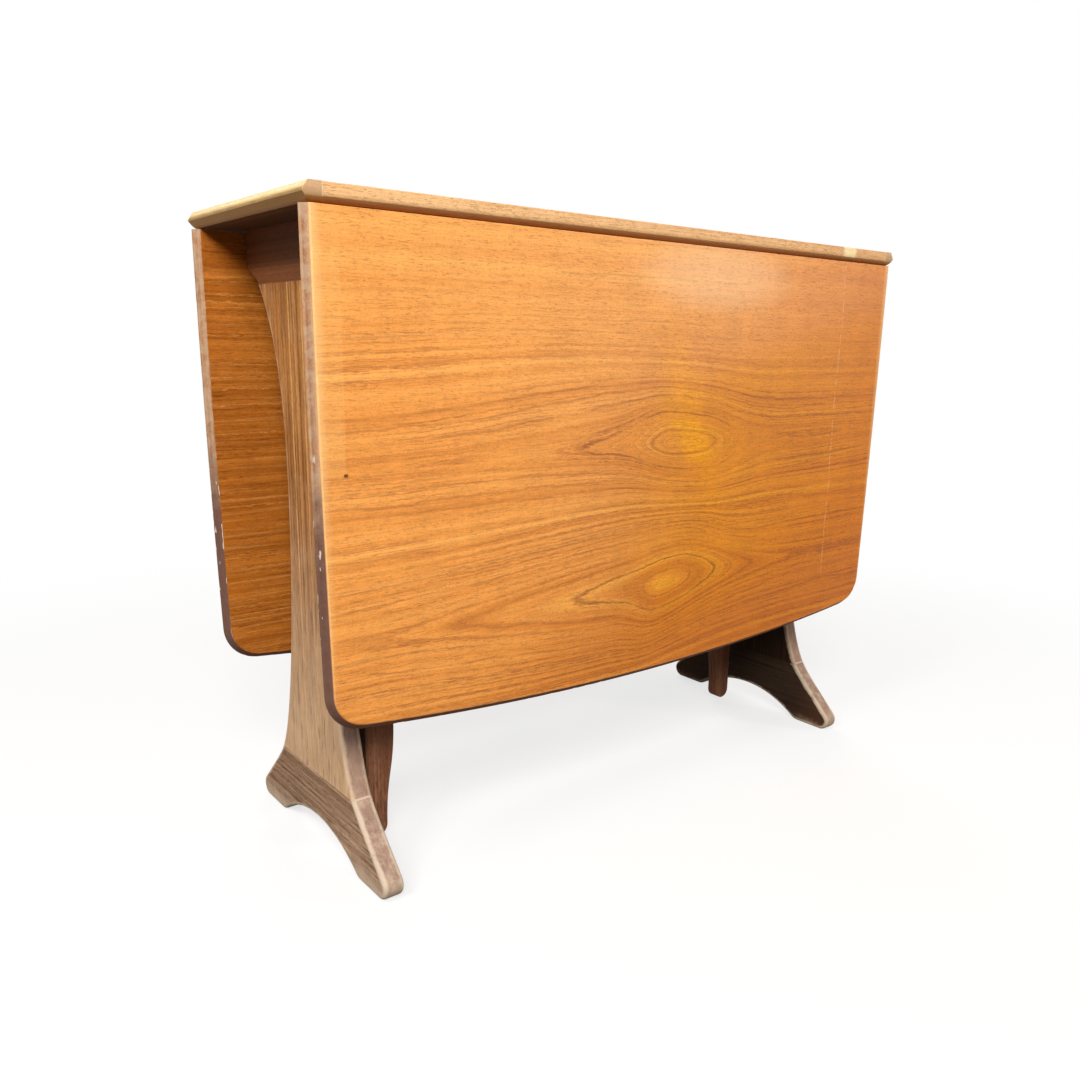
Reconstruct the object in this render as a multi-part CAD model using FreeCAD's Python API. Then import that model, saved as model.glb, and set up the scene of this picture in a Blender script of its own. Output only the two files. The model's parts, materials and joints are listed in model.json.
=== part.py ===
import FreeCAD, Part
import math
import os
from FreeCAD import Vector, Placement, Rotation

# A drop-leaf dining table on two lyre-shaped end frames, with a swinging gate
# under each leaf.  Millimetres, +Z up, +X along the table, origin on the floor
# under its middle.  Both leaves hang and both gates are folded in.
# The table looks the same after half a turn about +Z, so each rear piece is
# modelled once and its front twin is that piece turned round.

# Centre top and leaves
table_length = 914.0          # over the nosed ends
table_height = 721.0
top_width = 301.0
board_thickness = 18.0
leaf_length = 528.0           # hinge edge to nosed outer edge, at mid length
nose_upper_inset = 6.0        # upper face stands back this far from the nose
nose_lower_inset = 6.5
leaf_nose_inset = 8.0         # the same on a leaf's upper face
nose_drop = 9.0               # upper face down to the nose
leaf_end_bow = 8.3            # how far a leaf's end edge draws in over its length
leaf_outer_bow = 27.0         # how far a leaf's outer edge bellies at mid length
leaf_corner_radius = 45.0
end_lipping_width = 20.0
edge_lipping_width = 18.0
leaf_lipping_width = 31.0

# Rounded joint between centre top and leaf
pivot_depth = 8.5             # hinge axis below the upper face
joint_gap = 0.8

# End frames
frame_inset = 56.0            # nosed end to the frame's outer face
frame_thickness = 24.5
block_height = 58.5
block_leaf_gap = 2.0          # block to a hanging leaf's inner face
block_root_half_width = 100.0
block_curve_rise = 27.0
waist_half_width = 43.5
waist_height = 430.0
foot_height = 91.0
foot_shoulder_half_width = 95.0
toe_reach = 163.0
toe_radius = 14.0
arch_half_width = 100.0       # where the arch would meet the floor
arch_rise = 33.0
arch_end_round = 18.0
frame_edge_round = 4.0

# Rails and post between the end frames
rail_thickness = 36.0
stretcher_bottom = 150.0
stretcher_height = 45.0
post_width = 53.0

# Gates
gate_thickness = 20.0
gate_top_gap = 0.6            # under the centre top and an open leaf
gate_floor_gap = 6.5
gate_leg_inset = 100.0        # nosed end to the leg's outer edge
gate_leg_width = 38.0
gate_foot_height = 150.0      # the leg's inner side tapers below this
gate_foot_width = 27.0
gate_stile_width = 38.0
gate_stile_bottom = 145.0
gate_top_rail_height = 55.0
gate_bottom_rail_height = 40.0
gate_bottom_rail_bottom = 155.0

# Stop block under each leaf, beside the swung gate's leg
stop_width = 20.0
stop_length = 38.0
stop_thickness = 12.0
stop_clearance = 0.5

# Hinges
hinge_width = 60.0
hinge_spacing = 290.0
hinge_plate = 1.8
hinge_top_flap_length = 26.0
hinge_leaf_flap_length = 44.0
knuckle_radius = 3.0
pin_radius = 1.5
pin_clearance = 0.05
knuckle_gap = 0.3
pocket_clearance = 0.6
gate_hinge_height = 60.0
gate_hinge_flap_length = 24.0
gate_hinge_gap = 0.4          # between the folded flaps
gate_hinge_low = 230.0
gate_hinge_high = 560.0
gate_hinge_edge_gap = 0.5     # knuckle to the edges of post and stile

# Fastenings
screw_head_radius = 3.3
screw_shank_radius = 1.7
screw_length = 12.0
screw_tip = 3.0
screw_clearance = 0.08
dowel_radius = 4.0
dowel_length = 44.0
frame_dowel_depth = 14.0      # of a rail's dowel in the end frame
gate_dowel_radius = 3.5
dowel_clearance = 0.08
bracket_leg = 20.0
bracket_width = 22.0
bracket_thickness = 2.0
bracket_spacing = 150.0

# Worked out from the values above
half_length = table_length / 2
half_width = top_width / 2
underside = table_height - board_thickness
joint_radius = board_thickness - pivot_depth
pivot_y = half_width - joint_radius
pivot_z = table_height - pivot_depth
leaf_reach = joint_radius + joint_gap
leaf_start = pivot_y + leaf_reach
frame_outer = half_length - frame_inset
frame_inner = frame_outer - frame_thickness
block_bottom = underside - block_height
block_half_width = pivot_y - joint_radius - block_leaf_gap
rail_half = rail_thickness / 2
stretcher_top = stretcher_bottom + stretcher_height
post_half = post_width / 2
gate_inner = rail_half + 2 * hinge_plate + gate_hinge_gap
gate_outer = gate_inner + gate_thickness
gate_top = underside - gate_top_gap
leg_outer = half_length - gate_leg_inset
leg_inner = leg_outer - gate_leg_width
gate_pivot_x = -(post_half + gate_hinge_edge_gap + knuckle_radius)
gate_pivot_y = rail_half + hinge_plate + gate_hinge_gap / 2
stile_start = gate_pivot_x + knuckle_radius + gate_hinge_edge_gap
stile_end = stile_start + gate_stile_width
pocket = knuckle_radius + pocket_clearance
dowel_half = dowel_length / 2

x_axis = Vector(1, 0, 0)
y_axis = Vector(0, 1, 0)
z_axis = Vector(0, 0, 1)


def box(x0, x1, y0, y1, z0, z1):
    return Part.makeBox(x1 - x0, y1 - y0, z1 - z0, Vector(x0, y0, z0))


def turned(shape, angle, point=Vector(0, 0, 0), axis=z_axis):
    copy = shape.copy()
    copy.rotate(point, axis, angle)
    return copy


def half_turn(shape):
    return turned(shape, 180)


def prism(edges, direction):
    return Part.Face(Part.Wire(Part.__sortEdges__(edges))).extrude(direction)


def polygon_prism(points, direction):
    corners = [Vector(*point) for point in points]
    return Part.Face(Part.makePolygon(corners + corners[:1])).extrude(direction)


def bezier(poles):
    curve = Part.BezierCurve()
    curve.setPoles(poles)
    return curve.toShape()


def line(start, end):
    return Part.LineSegment(start, end).toShape()


def arc(start, middle, end):
    return Part.Arc(start, middle, end).toShape()


def group(shapes):
    return Part.makeCompound(shapes)


def single(shape):
    solids = shape.removeSplitter().Solids
    return solids[0] if len(solids) == 1 else Part.makeCompound(solids)


def screw(point, direction, grow=0.0):
    # Countersunk wood screw: point is the middle of its head, direction its way in
    head_height = screw_head_radius - screw_shank_radius
    body_end = screw_length - screw_tip
    head = Part.makeCone(screw_head_radius + grow, screw_shank_radius + grow, head_height)
    shank = Part.makeCylinder(screw_shank_radius + grow, body_end - head_height + grow,
                              Vector(0, 0, head_height))
    tip = Part.makeCone(screw_shank_radius + grow, grow + 0.2, screw_tip, Vector(0, 0, body_end + grow))
    shape = head.fuse([shank, tip]).removeSplitter()
    shape.Placement = Placement(point, Rotation(z_axis, direction))
    return shape


def screw_hole(point, direction):
    return screw(point, direction, screw_clearance)


def dowel(start, end, radius=dowel_radius, grow=0.0):
    way = end.sub(start)
    length = way.Length
    way.normalize()
    first = start.sub(way * grow)
    return Part.makeCylinder(radius + grow, length + 2 * grow, first, way)


def dowel_holes(dowels, radius=dowel_radius):
    return [dowel(start, end, radius, dowel_clearance) for start, end in dowels]


# ---------------------------------------------------------------- leaf hinges

hinge_places = [-hinge_spacing, 0.0, hinge_spacing]


def knuckle_spans():
    # Outer two knuckles belong to the fixed flap, the middle one to the moving flap
    middle = hinge_width / 6
    outer = [(-hinge_width / 2, -middle - knuckle_gap), (middle + knuckle_gap, hinge_width / 2)]
    return outer, [(-middle, middle)]


def cranked_flap(place, spans, side, reach, length):
    # side is -1 for the flap under the centre top and 1 for the leaf's, drawn with the leaf open
    bottom = pivot_z - joint_radius
    link_in, link_out = knuckle_radius - hinge_plate, knuckle_radius

    def strip(x0, x1, a0, a1, z0, z1):
        near, far = sorted((pivot_y + side * a0, pivot_y + side * a1))
        return box(place + x0, place + x1, near, far, z0, z1)

    parts = [strip(-hinge_width / 2, hinge_width / 2, reach, reach + length, bottom, bottom + hinge_plate)]
    for x0, x1 in spans:
        barrel = Part.makeCylinder(knuckle_radius, x1 - x0, Vector(place + x0, pivot_y, pivot_z), x_axis)
        parts += [barrel, strip(x0, x1, link_in, link_out, bottom, pivot_z),
                  strip(x0, x1, link_in, reach, bottom, bottom + hinge_plate)]
    flap = parts[0].fuse(parts[1:])
    bore = Part.makeCylinder(pin_radius + pin_clearance, hinge_width, Vector(place - hinge_width / 2, pivot_y, pivot_z), x_axis)
    return flap.cut(bore)


top_flap_reach = joint_radius + pocket_clearance + 1.0
leaf_flap_reach = leaf_reach + pocket_clearance


def flap_screw_points(place, side, reach, length):
    spread = hinge_width / 3
    near, far = reach + length * 0.3, reach + length * 0.75
    spots = [(-spread, near), (spread, near), (0.0, far)]
    return [Vector(place + x, pivot_y + side * a, underside) for x, a in spots]


def top_flap_screws():
    return [point for place in hinge_places
            for point in flap_screw_points(place, -1, top_flap_reach, hinge_top_flap_length)]


def leaf_flap_screws():
    return [point for place in hinge_places
            for point in flap_screw_points(place, 1, leaf_flap_reach, hinge_leaf_flap_length)]


def flaps(spans, side, reach, length, points):
    shapes = [cranked_flap(place, spans, side, reach, length) for place in hinge_places]
    holes = [screw_hole(point, z_axis) for point in points]
    return group([single(shape.cut(holes)) for shape in shapes])


def top_hinge_flaps():
    return flaps(knuckle_spans()[0], -1, top_flap_reach, hinge_top_flap_length, top_flap_screws())


def leaf_hinge_flaps():
    return flaps(knuckle_spans()[1], 1, leaf_flap_reach, hinge_leaf_flap_length, leaf_flap_screws())


def hinge_pins():
    return group([Part.makeCylinder(pin_radius, hinge_width, Vector(place - hinge_width / 2, pivot_y, pivot_z), x_axis)
                  for place in hinge_places])


def top_hinge_pockets():
    # Room for the knuckles, the swinging flap and the sunk plate in the centre top
    cuts = []
    middle = hinge_width / 6
    side = hinge_width / 2 + pocket_clearance
    inner = pivot_y - top_flap_reach - hinge_top_flap_length
    plate_top = underside + hinge_plate
    for place in hinge_places:
        cuts.append(box(place - side, place + side, pivot_y - pocket, pivot_y + pocket, underside, pivot_z + pocket))
        cuts.append(box(place - middle - knuckle_gap, place + middle + knuckle_gap,
                        pivot_y - top_flap_reach, pivot_y, underside, pivot_z + pocket))
        cuts.append(box(place - middle - knuckle_gap, place + middle + knuckle_gap,
                        pivot_y, pivot_y + joint_radius, underside, plate_top + pocket_clearance))
        cuts.append(box(place - hinge_width / 2, place + hinge_width / 2, inner, pivot_y, underside, plate_top))
    return cuts


def leaf_hinge_pockets():
    cuts = []
    middle = hinge_width / 6
    plate_top = underside + hinge_plate
    end = pivot_y + leaf_flap_reach + hinge_leaf_flap_length
    for place in hinge_places:
        cuts.append(box(place - hinge_width / 2, place + hinge_width / 2,
                        pivot_y + leaf_flap_reach, end, underside, plate_top))
        cuts.append(box(place - middle, place + middle, leaf_start, pivot_y + leaf_flap_reach, underside, plate_top))
    return cuts


# ---------------------------------------------------------------- centre top

def top_blank():
    edge = [line(Vector(0, -half_width, table_height), Vector(0, half_width, table_height)),
            line(Vector(0, -pivot_y, underside), Vector(0, pivot_y, underside))]
    bulge = joint_radius * math.sqrt(0.5)
    for side in (-1, 1):
        edge.append(line(Vector(0, side * half_width, table_height), Vector(0, side * half_width, pivot_z)))
        edge.append(arc(Vector(0, side * half_width, pivot_z),
                        Vector(0, side * (pivot_y + bulge), pivot_z - bulge),
                        Vector(0, side * pivot_y, underside)))
    board = prism(edge, Vector(table_length, 0, 0)).translated(Vector(-half_length, 0, 0))
    nose = []
    for side in (-1, 1):
        ends = [(side * (half_length - nose_upper_inset), -half_width, table_height),
                (side * half_length, -half_width, table_height - nose_drop),
                (side * (half_length - nose_lower_inset), -half_width, underside)]
        nose += ends if side > 0 else ends[::-1]
    return board.common(polygon_prism(nose, Vector(0, top_width, 0)))


def top_cuts():
    pockets = top_hinge_pockets()
    holes = [screw_hole(point, z_axis) for point in top_flap_screws()]
    cuts = pockets + holes + [half_turn(cut) for cut in pockets + holes]
    return cuts + [screw_hole(point, way) for point, way in bracket_screws() if way.z > 0]


def top_pieces():
    blank = top_blank()
    seam_x = half_length - end_lipping_width
    seam_y = half_width - edge_lipping_width
    reach = half_length + 1
    panel = blank.common(box(-seam_x, seam_x, -seam_y, seam_y, underside, table_height))
    edge = blank.common(box(-seam_x, seam_x, seam_y, half_width, underside, table_height))
    end = blank.common(box(seam_x, reach, -half_width, half_width, underside, table_height))
    cuts = top_cuts()
    edge = single(edge.cut(cuts))
    return {"centre_top_panel": single(panel.cut(cuts)),
            "top_edge_lipping_rear": edge, "top_edge_lipping_front": half_turn(edge),
            "top_end_lipping_right": single(end), "top_end_lipping_left": half_turn(single(end))}


# ---------------------------------------------------------------- leaves

def circle_radius(half_chord, rise):
    return (half_chord ** 2 + rise ** 2) / (2 * rise)


def leaf_corner_centre():
    # The corner arc touches the end arc and the outer arc from inside
    end_radius = circle_radius(leaf_length, leaf_end_bow)
    outer_radius = circle_radius(half_length, leaf_outer_bow)
    end_centre = Vector(half_length - end_radius, leaf_start, 0)
    outer_centre = Vector(0, leaf_start + leaf_length - outer_radius, 0)
    to_end, to_outer = end_radius - leaf_corner_radius, outer_radius - leaf_corner_radius
    between = outer_centre.sub(end_centre)
    span = between.Length
    along = (span ** 2 + to_end ** 2 - to_outer ** 2) / (2 * span)
    across = math.sqrt(to_end ** 2 - along ** 2)
    between.normalize()
    sideways = Vector(-between.y, between.x, 0)
    options = [end_centre + between * along + sideways * (sign * across) for sign in (-1, 1)]
    return max(options, key=lambda point: point.x), end_centre, end_radius, outer_centre, outer_radius


def leaf_wire(inset, height):
    # Outline of an open leaf, moved in by inset everywhere but at its hinge edge
    corner, end_centre, end_radius, outer_centre, outer_radius = leaf_corner_centre()

    def on_circle(centre, towards, radius):
        way = towards.sub(centre)
        way.normalize()
        return centre + way * radius

    start = Vector(half_length - inset, leaf_start, 0)
    corner_in = on_circle(end_centre, corner, end_radius - inset)
    middle_way = on_circle(end_centre, (start + corner_in) * 0.5, end_radius - inset)
    corner_out = on_circle(outer_centre, corner, outer_radius - inset)
    corner_mid = on_circle(corner, (corner_in + corner_out) * 0.5, leaf_corner_radius - inset)
    outer_mid = Vector(0, leaf_start + leaf_length - inset, 0)

    def mirrored(point):
        return Vector(-point.x, point.y, 0)

    edges = [arc(start, middle_way, corner_in), arc(corner_in, corner_mid, corner_out),
             arc(corner_out, outer_mid, mirrored(corner_out)),
             arc(mirrored(corner_out), mirrored(corner_mid), mirrored(corner_in)),
             arc(mirrored(corner_in), mirrored(middle_way), mirrored(start)),
             line(mirrored(start), start)]
    wire = Part.Wire(edges)
    wire.translate(Vector(0, 0, height))
    return wire


def leaf_blank():
    levels = [leaf_wire(nose_lower_inset, underside), leaf_wire(0.0, table_height - nose_drop),
              leaf_wire(leaf_nose_inset, table_height)]
    lower = Part.makeLoft(levels[:2], True, True)
    upper = Part.makeLoft(levels[1:], True, True)
    return lower.fuse(upper).removeSplitter()


def stop_place():
    # Beside the outer face of the gate's leg when the gate stands square to the table
    swung_x = gate_pivot_x - (gate_outer - gate_pivot_y)
    swung_y = gate_pivot_y + (leg_inner - gate_pivot_x)
    return swung_x - stop_clearance - stop_width, swung_y


def stop_screws():
    left, near = stop_place()
    middle = left + stop_width / 2
    return [Vector(middle, near + stop_length * share, underside - stop_thickness) for share in (0.25, 0.75)]


def stop_screw(point, grow=0.0):
    # A longer countersunk screw through the stop block
    reach = stop_thickness + board_thickness / 2
    head_height = screw_head_radius - screw_shank_radius
    head = Part.makeCone(screw_head_radius + grow, screw_shank_radius + grow, head_height, point, z_axis)
    shank = Part.makeCylinder(screw_shank_radius + grow, reach - head_height + grow,
                              point + z_axis * head_height, z_axis)
    return head.fuse(shank).removeSplitter()


def leaf_pieces():
    corner = leaf_corner_centre()[0]
    outline = leaf_wire(leaf_lipping_width, underside)
    core = Part.Face(outline).extrude(Vector(0, 0, board_thickness))
    seam_x = half_length - leaf_lipping_width
    seam_y = leaf_start + leaf_lipping_width
    strip = box(-seam_x, seam_x, leaf_start, seam_y, underside, table_height)
    core = core.cut(strip)
    core = core.common(box(-half_length, half_length, seam_y, leaf_start + leaf_length, underside, table_height))
    ring = leaf_blank().cut(core)
    reach = half_length
    mitre = polygon_prism([(-corner.x, corner.y, underside), (-corner.x - reach, corner.y + reach, underside),
                           (corner.x + reach, corner.y + reach, underside), (corner.x, corner.y, underside)],
                          Vector(0, 0, board_thickness))
    sides = ring.cut([strip, mitre])
    right = sides.common(box(0, reach + 1, leaf_start, leaf_start + leaf_length, underside, table_height))
    left = sides.common(box(-reach - 1, 0, leaf_start, leaf_start + leaf_length, underside, table_height))
    cuts = leaf_hinge_pockets() + [screw_hole(point, z_axis) for point in leaf_flap_screws()]
    cuts += [stop_screw(point, screw_clearance) for point in stop_screws()]
    left_edge, near = stop_place()
    stop = box(left_edge, left_edge + stop_width, near, near + stop_length, underside - stop_thickness, underside)
    stop = stop.cut([stop_screw(point, screw_clearance) for point in stop_screws()])
    return {"panel": single(core.cut(cuts)),
            "hinge_lipping": single(ring.common(strip).cut(cuts)),
            "outer_lipping": single(ring.common(mitre)),
            "end_lipping_a": single(left), "end_lipping_b": single(right),
            "hinge_flaps": leaf_hinge_flaps(),
            "hinge_screws": group([screw(point, z_axis) for point in leaf_flap_screws()]),
            "gate_stop": single(stop),
            "stop_screws": group([stop_screw(point) for point in stop_screws()])}


def hang(shape):
    # An open rear leaf turned down about its hinge axis
    return turned(shape, -90, Vector(0, pivot_y, pivot_z), x_axis)


# ---------------------------------------------------------------- end frames

def side_curves():
    # Half outline of a frame, from the toe up to the centre top, as (y, z) curves
    toe_centre = toe_reach - toe_radius
    slant = toe_radius * math.sqrt(0.5)
    toe_top = (toe_centre + slant, toe_radius + slant)
    shoulder = (foot_shoulder_half_width, foot_height)
    root = (block_root_half_width, block_bottom)
    lean = (-29.0, 44.0)          # the outline's slope where foot and panel meet
    flare = (36.0, 45.0)          # and where panel and block meet
    rise = (shoulder[1] - toe_top[1]) * 0.4
    foot = [toe_top, (toe_top[0] - rise, toe_top[1] + rise),
            (shoulder[0] - lean[0] * 0.35, shoulder[1] - lean[1] * 0.35), shoulder]
    lower = [shoulder, (shoulder[0] + lean[0], shoulder[1] + lean[1]),
             (waist_half_width, waist_height - 150), (waist_half_width, waist_height)]
    upper = [(waist_half_width, waist_height), (waist_half_width, waist_height + 100),
             (root[0] - flare[0], root[1] - flare[1]), root]
    block = [root, (root[0] + flare[0] * 0.25, root[1] + flare[1] * 0.25),
             (block_half_width, block_bottom + block_curve_rise * 0.4),
             (block_half_width, block_bottom + block_curve_rise)]
    return foot, lower, upper, block


def both_sides(poles):
    return [bezier([Vector(frame_inner, side * y, z) for y, z in poles]) for side in (-1, 1)]


def across(half, height):
    return line(Vector(frame_inner, -half, height), Vector(frame_inner, half, height))


def eased(solid, flat_heights):
    # Rounds the long arrises of a frame piece, and leaves its glued and flat faces square
    picked = []
    for edge in solid.Edges:
        low, high = edge.BoundBox.ZMin, edge.BoundBox.ZMax
        in_face = edge.BoundBox.XLength < 1e-6
        at_joint = any(abs(low - z) < 1e-6 and abs(high - z) < 1e-6 for z in flat_heights)
        if in_face and not at_joint:
            picked.append(edge)
    return solid.makeFillet(frame_edge_round, picked)


def frame_extrusion(edges):
    return prism(edges, Vector(frame_thickness, 0, 0))


def frame_foot():
    # The arch is one arc, and a smaller arc rounds its ends into the flats that stand on the floor
    foot = side_curves()[0]
    toe_bottom = toe_reach - toe_radius
    arch_radius = circle_radius(arch_half_width, arch_rise)
    arch_centre_z = arch_rise - arch_radius
    to_round = arch_radius + arch_end_round
    round_y = math.sqrt(to_round ** 2 - (arch_end_round - arch_centre_z) ** 2)
    share = arch_radius / to_round
    touch_y, touch_z = round_y * share, arch_centre_z + (arch_end_round - arch_centre_z) * share
    slope = math.atan2(touch_z - arch_end_round, touch_y - round_y)
    middle = (slope - math.pi / 2) / 2
    bend_y = round_y + arch_end_round * math.cos(middle)
    bend_z = arch_end_round + arch_end_round * math.sin(middle)
    edges = both_sides(foot) + [across(foot_shoulder_half_width, foot_height)]
    edges.append(arc(Vector(frame_inner, -touch_y, touch_z), Vector(frame_inner, 0, arch_rise),
                     Vector(frame_inner, touch_y, touch_z)))
    for side in (-1, 1):
        edges.append(arc(Vector(frame_inner, side * toe_bottom, 0),
                         Vector(frame_inner, side * toe_reach, toe_radius),
                         Vector(frame_inner, side * foot[0][0], foot[0][1])))
        edges.append(arc(Vector(frame_inner, side * touch_y, touch_z), Vector(frame_inner, side * bend_y, bend_z),
                         Vector(frame_inner, side * round_y, 0)))
        edges.append(line(Vector(frame_inner, side * round_y, 0), Vector(frame_inner, side * toe_bottom, 0)))
    return eased(frame_extrusion(edges), [foot_height])


def frame_panel():
    lower, upper = side_curves()[1:3]
    edges = both_sides(lower) + both_sides(upper)
    edges += [across(foot_shoulder_half_width, foot_height), across(block_root_half_width, block_bottom)]
    return eased(frame_extrusion(edges), [foot_height, block_bottom])


def frame_block():
    block = side_curves()[3]
    edges = both_sides(block) + [across(block_root_half_width, block_bottom), across(block_half_width, underside)]
    for side in (-1, 1):
        edges.append(line(Vector(frame_inner, side * block_half_width, block_bottom + block_curve_rise),
                          Vector(frame_inner, side * block_half_width, underside)))
    return eased(frame_extrusion(edges), [block_bottom, underside])


def frame_dowels():
    # Upright dowels that hold block, panel and foot together
    middle = frame_outer - frame_thickness / 2
    ways = []
    for height in (foot_height, block_bottom):
        for share in (-0.6, -0.25, 0.25, 0.6):
            y = share * min(foot_shoulder_half_width, block_root_half_width)
            ways.append((Vector(middle, y, height - dowel_half), Vector(middle, y, height + dowel_half)))
    return ways


def rail_dowels():
    # Level dowels from the rails into the end frames
    upper_mid = (block_bottom + underside) / 2
    lower_mid = (stretcher_bottom + stretcher_top) / 2
    heights = [upper_mid - block_height / 4, upper_mid + block_height / 4,
               lower_mid - stretcher_height / 4, lower_mid + stretcher_height / 4]
    start = frame_inner + frame_dowel_depth
    return [(Vector(start - dowel_length, 0, z), Vector(start, 0, z)) for z in heights]


def post_dowels():
    return [(Vector(side * post_half / 2, 0, z - dowel_half), Vector(side * post_half / 2, 0, z + dowel_half))
            for side in (-1, 1) for z in (stretcher_top, block_bottom)]


def bracket_screws():
    # Place and way in of each screw of the steel brackets, at both ends of the table
    screws = []
    out = frame_inner - bracket_leg * 0.6
    for y in (-bracket_spacing / 2, bracket_spacing / 2):
        screws.append((Vector(out, y, underside - bracket_thickness), Vector(0, 0, 1)))
        screws.append((Vector(frame_inner - bracket_thickness, y, underside - bracket_leg * 0.6), Vector(1, 0, 0)))
    turned_screws = [(Vector(-point.x, -point.y, point.z), Vector(-way.x, 0, way.z)) for point, way in screws]
    return screws + turned_screws


def brackets():
    shapes = []
    holes = [screw_hole(point, way) for point, way in bracket_screws()]
    for y in (-bracket_spacing / 2, bracket_spacing / 2):
        y0, y1 = y - bracket_width / 2, y + bracket_width / 2
        upright = box(frame_inner - bracket_thickness, frame_inner, y0, y1, underside - bracket_leg, underside)
        level = box(frame_inner - bracket_leg, frame_inner, y0, y1, underside - bracket_thickness, underside)
        angle = upright.fuse(level).removeSplitter()
        shapes += [angle, half_turn(angle)]
    return group([single(shape.cut(holes)) for shape in shapes])


def frame_pieces():
    holes = dowel_holes(frame_dowels() + rail_dowels())
    holes += [screw_hole(point, way) for point, way in bracket_screws() if way.x > 0]
    pieces = {}
    for name, shape in (("foot", frame_foot()), ("panel", frame_panel()), ("top_block", frame_block())):
        solid = single(shape.cut(holes))
        pieces["end_frame_right_" + name] = solid
        pieces["end_frame_left_" + name] = half_turn(solid)
    return pieces


def rail_pieces():
    rails = rail_dowels()
    holes = dowel_holes(rails + post_dowels())
    holes += [half_turn(hole) for hole in dowel_holes(rails)]
    upper = box(-frame_inner, frame_inner, -rail_half, rail_half, block_bottom, underside)
    lower = box(-frame_inner, frame_inner, -rail_half, rail_half, stretcher_bottom, stretcher_top)
    post = box(-post_half, post_half, -rail_half, rail_half, stretcher_top, block_bottom)
    fixed = [screw_hole(point, way) for point, way in gate_flap_screws(fixed=True)]
    holes += fixed + [half_turn(hole) for hole in fixed]
    return {"upper_rail": single(upper.cut(holes)), "lower_stretcher": single(lower.cut(holes)),
            "centre_post": single(post.cut(holes))}


# ---------------------------------------------------------------- gates

def gate_leg():
    # The leg is drawn in its own face: its outer side is straight, its inner side tapers to a rounded foot
    foot_radius = gate_foot_width / 2
    foot_z = gate_floor_gap + foot_radius
    y = gate_inner
    foot_inner = leg_outer - gate_foot_width
    outer_foot, inner_foot = Vector(leg_outer, y, foot_z), Vector(foot_inner, y, foot_z)
    tip = Vector(leg_outer - foot_radius, y, gate_floor_gap)
    knee = Vector(leg_inner, y, gate_foot_height)
    drop = (gate_foot_height - foot_z) / 2
    inner_curve = bezier([knee, knee - z_axis * drop, inner_foot + z_axis * drop, inner_foot])
    outer_top, inner_top = Vector(leg_outer, y, gate_top), Vector(leg_inner, y, gate_top)
    edges = [line(inner_top, outer_top), line(outer_top, outer_foot), arc(outer_foot, tip, inner_foot),
             inner_curve, line(knee, inner_top)]
    return prism(edges, Vector(0, gate_thickness, 0))


gate_top_rail_bottom = gate_top - gate_top_rail_height
gate_bottom_rail_top = gate_bottom_rail_bottom + gate_bottom_rail_height


def gate_dowels():
    middle = (gate_inner + gate_outer) / 2
    heights = [gate_top_rail_bottom + gate_top_rail_height * share for share in (0.25, 0.75)]
    heights += [gate_bottom_rail_bottom + gate_bottom_rail_height * share for share in (0.25, 0.75)]
    return [(Vector(x - dowel_half, middle, z), Vector(x + dowel_half, middle, z))
            for x in (stile_end, leg_inner) for z in heights]


def gate_flap(low, fixed):
    # Butt hinge: the knuckle stands past the ends of post and stile, its flaps lie between them
    third = gate_hinge_height / 3
    outer = [(low, low + third - knuckle_gap), (low + 2 * third + knuckle_gap, low + gate_hinge_height)]
    spans = outer if fixed else [(low + third, low + 2 * third)]
    y0 = rail_half if fixed else gate_inner - hinge_plate
    plate_start = gate_pivot_x + knuckle_radius + knuckle_gap
    plate = box(plate_start, plate_start + gate_hinge_flap_length, y0, y0 + hinge_plate, low, low + gate_hinge_height)
    parts = []
    for z0, z1 in spans:
        parts.append(Part.makeCylinder(knuckle_radius, z1 - z0, Vector(gate_pivot_x, gate_pivot_y, z0), z_axis))
        parts.append(box(gate_pivot_x, plate_start, y0, y0 + hinge_plate, z0, z1))
    bore = Part.makeCylinder(pin_radius + pin_clearance, gate_hinge_height,
                             Vector(gate_pivot_x, gate_pivot_y, low), z_axis)
    return plate.fuse(parts).cut(bore)


def gate_flap_screws(fixed):
    start = gate_pivot_x + knuckle_radius + knuckle_gap
    y = rail_half + hinge_plate if fixed else gate_inner - hinge_plate
    way = Vector(0, -1 if fixed else 1, 0)
    spots = [(0.35, 0.2), (0.7, 0.5), (0.35, 0.8)]
    return [(Vector(start + gate_hinge_flap_length * across_share, y, low + gate_hinge_height * up_share), way)
            for low in (gate_hinge_low, gate_hinge_high) for across_share, up_share in spots]


def gate_flaps(fixed):
    holes = [screw_hole(point, way) for point, way in gate_flap_screws(fixed)]
    return group([single(gate_flap(low, fixed).cut(holes)) for low in (gate_hinge_low, gate_hinge_high)])


def gate_pins():
    return group([Part.makeCylinder(pin_radius, gate_hinge_height, Vector(gate_pivot_x, gate_pivot_y, low), z_axis)
                  for low in (gate_hinge_low, gate_hinge_high)])


def gate_pieces():
    holes = dowel_holes(gate_dowels(), gate_dowel_radius)
    holes += [screw_hole(point, way) for point, way in gate_flap_screws(fixed=False)]
    stile = box(stile_start, stile_end, gate_inner, gate_outer, gate_stile_bottom, gate_top)
    top_rail = box(stile_end, leg_inner, gate_inner, gate_outer, gate_top_rail_bottom, gate_top)
    bottom_rail = box(stile_end, leg_inner, gate_inner, gate_outer, gate_bottom_rail_bottom, gate_bottom_rail_top)
    return {"leg": single(gate_leg().cut(holes)), "hinge_stile": single(stile.cut(holes)),
            "top_rail": single(top_rail.cut(holes)), "bottom_rail": single(bottom_rail.cut(holes)),
            "dowels": group([dowel(start, end, gate_dowel_radius) for start, end in gate_dowels()]),
            "hinge_flaps": gate_flaps(fixed=False),
            "hinge_screws": group([screw(point, way) for point, way in gate_flap_screws(fixed=False)])}


# ---------------------------------------------------------------- the whole table

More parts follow.
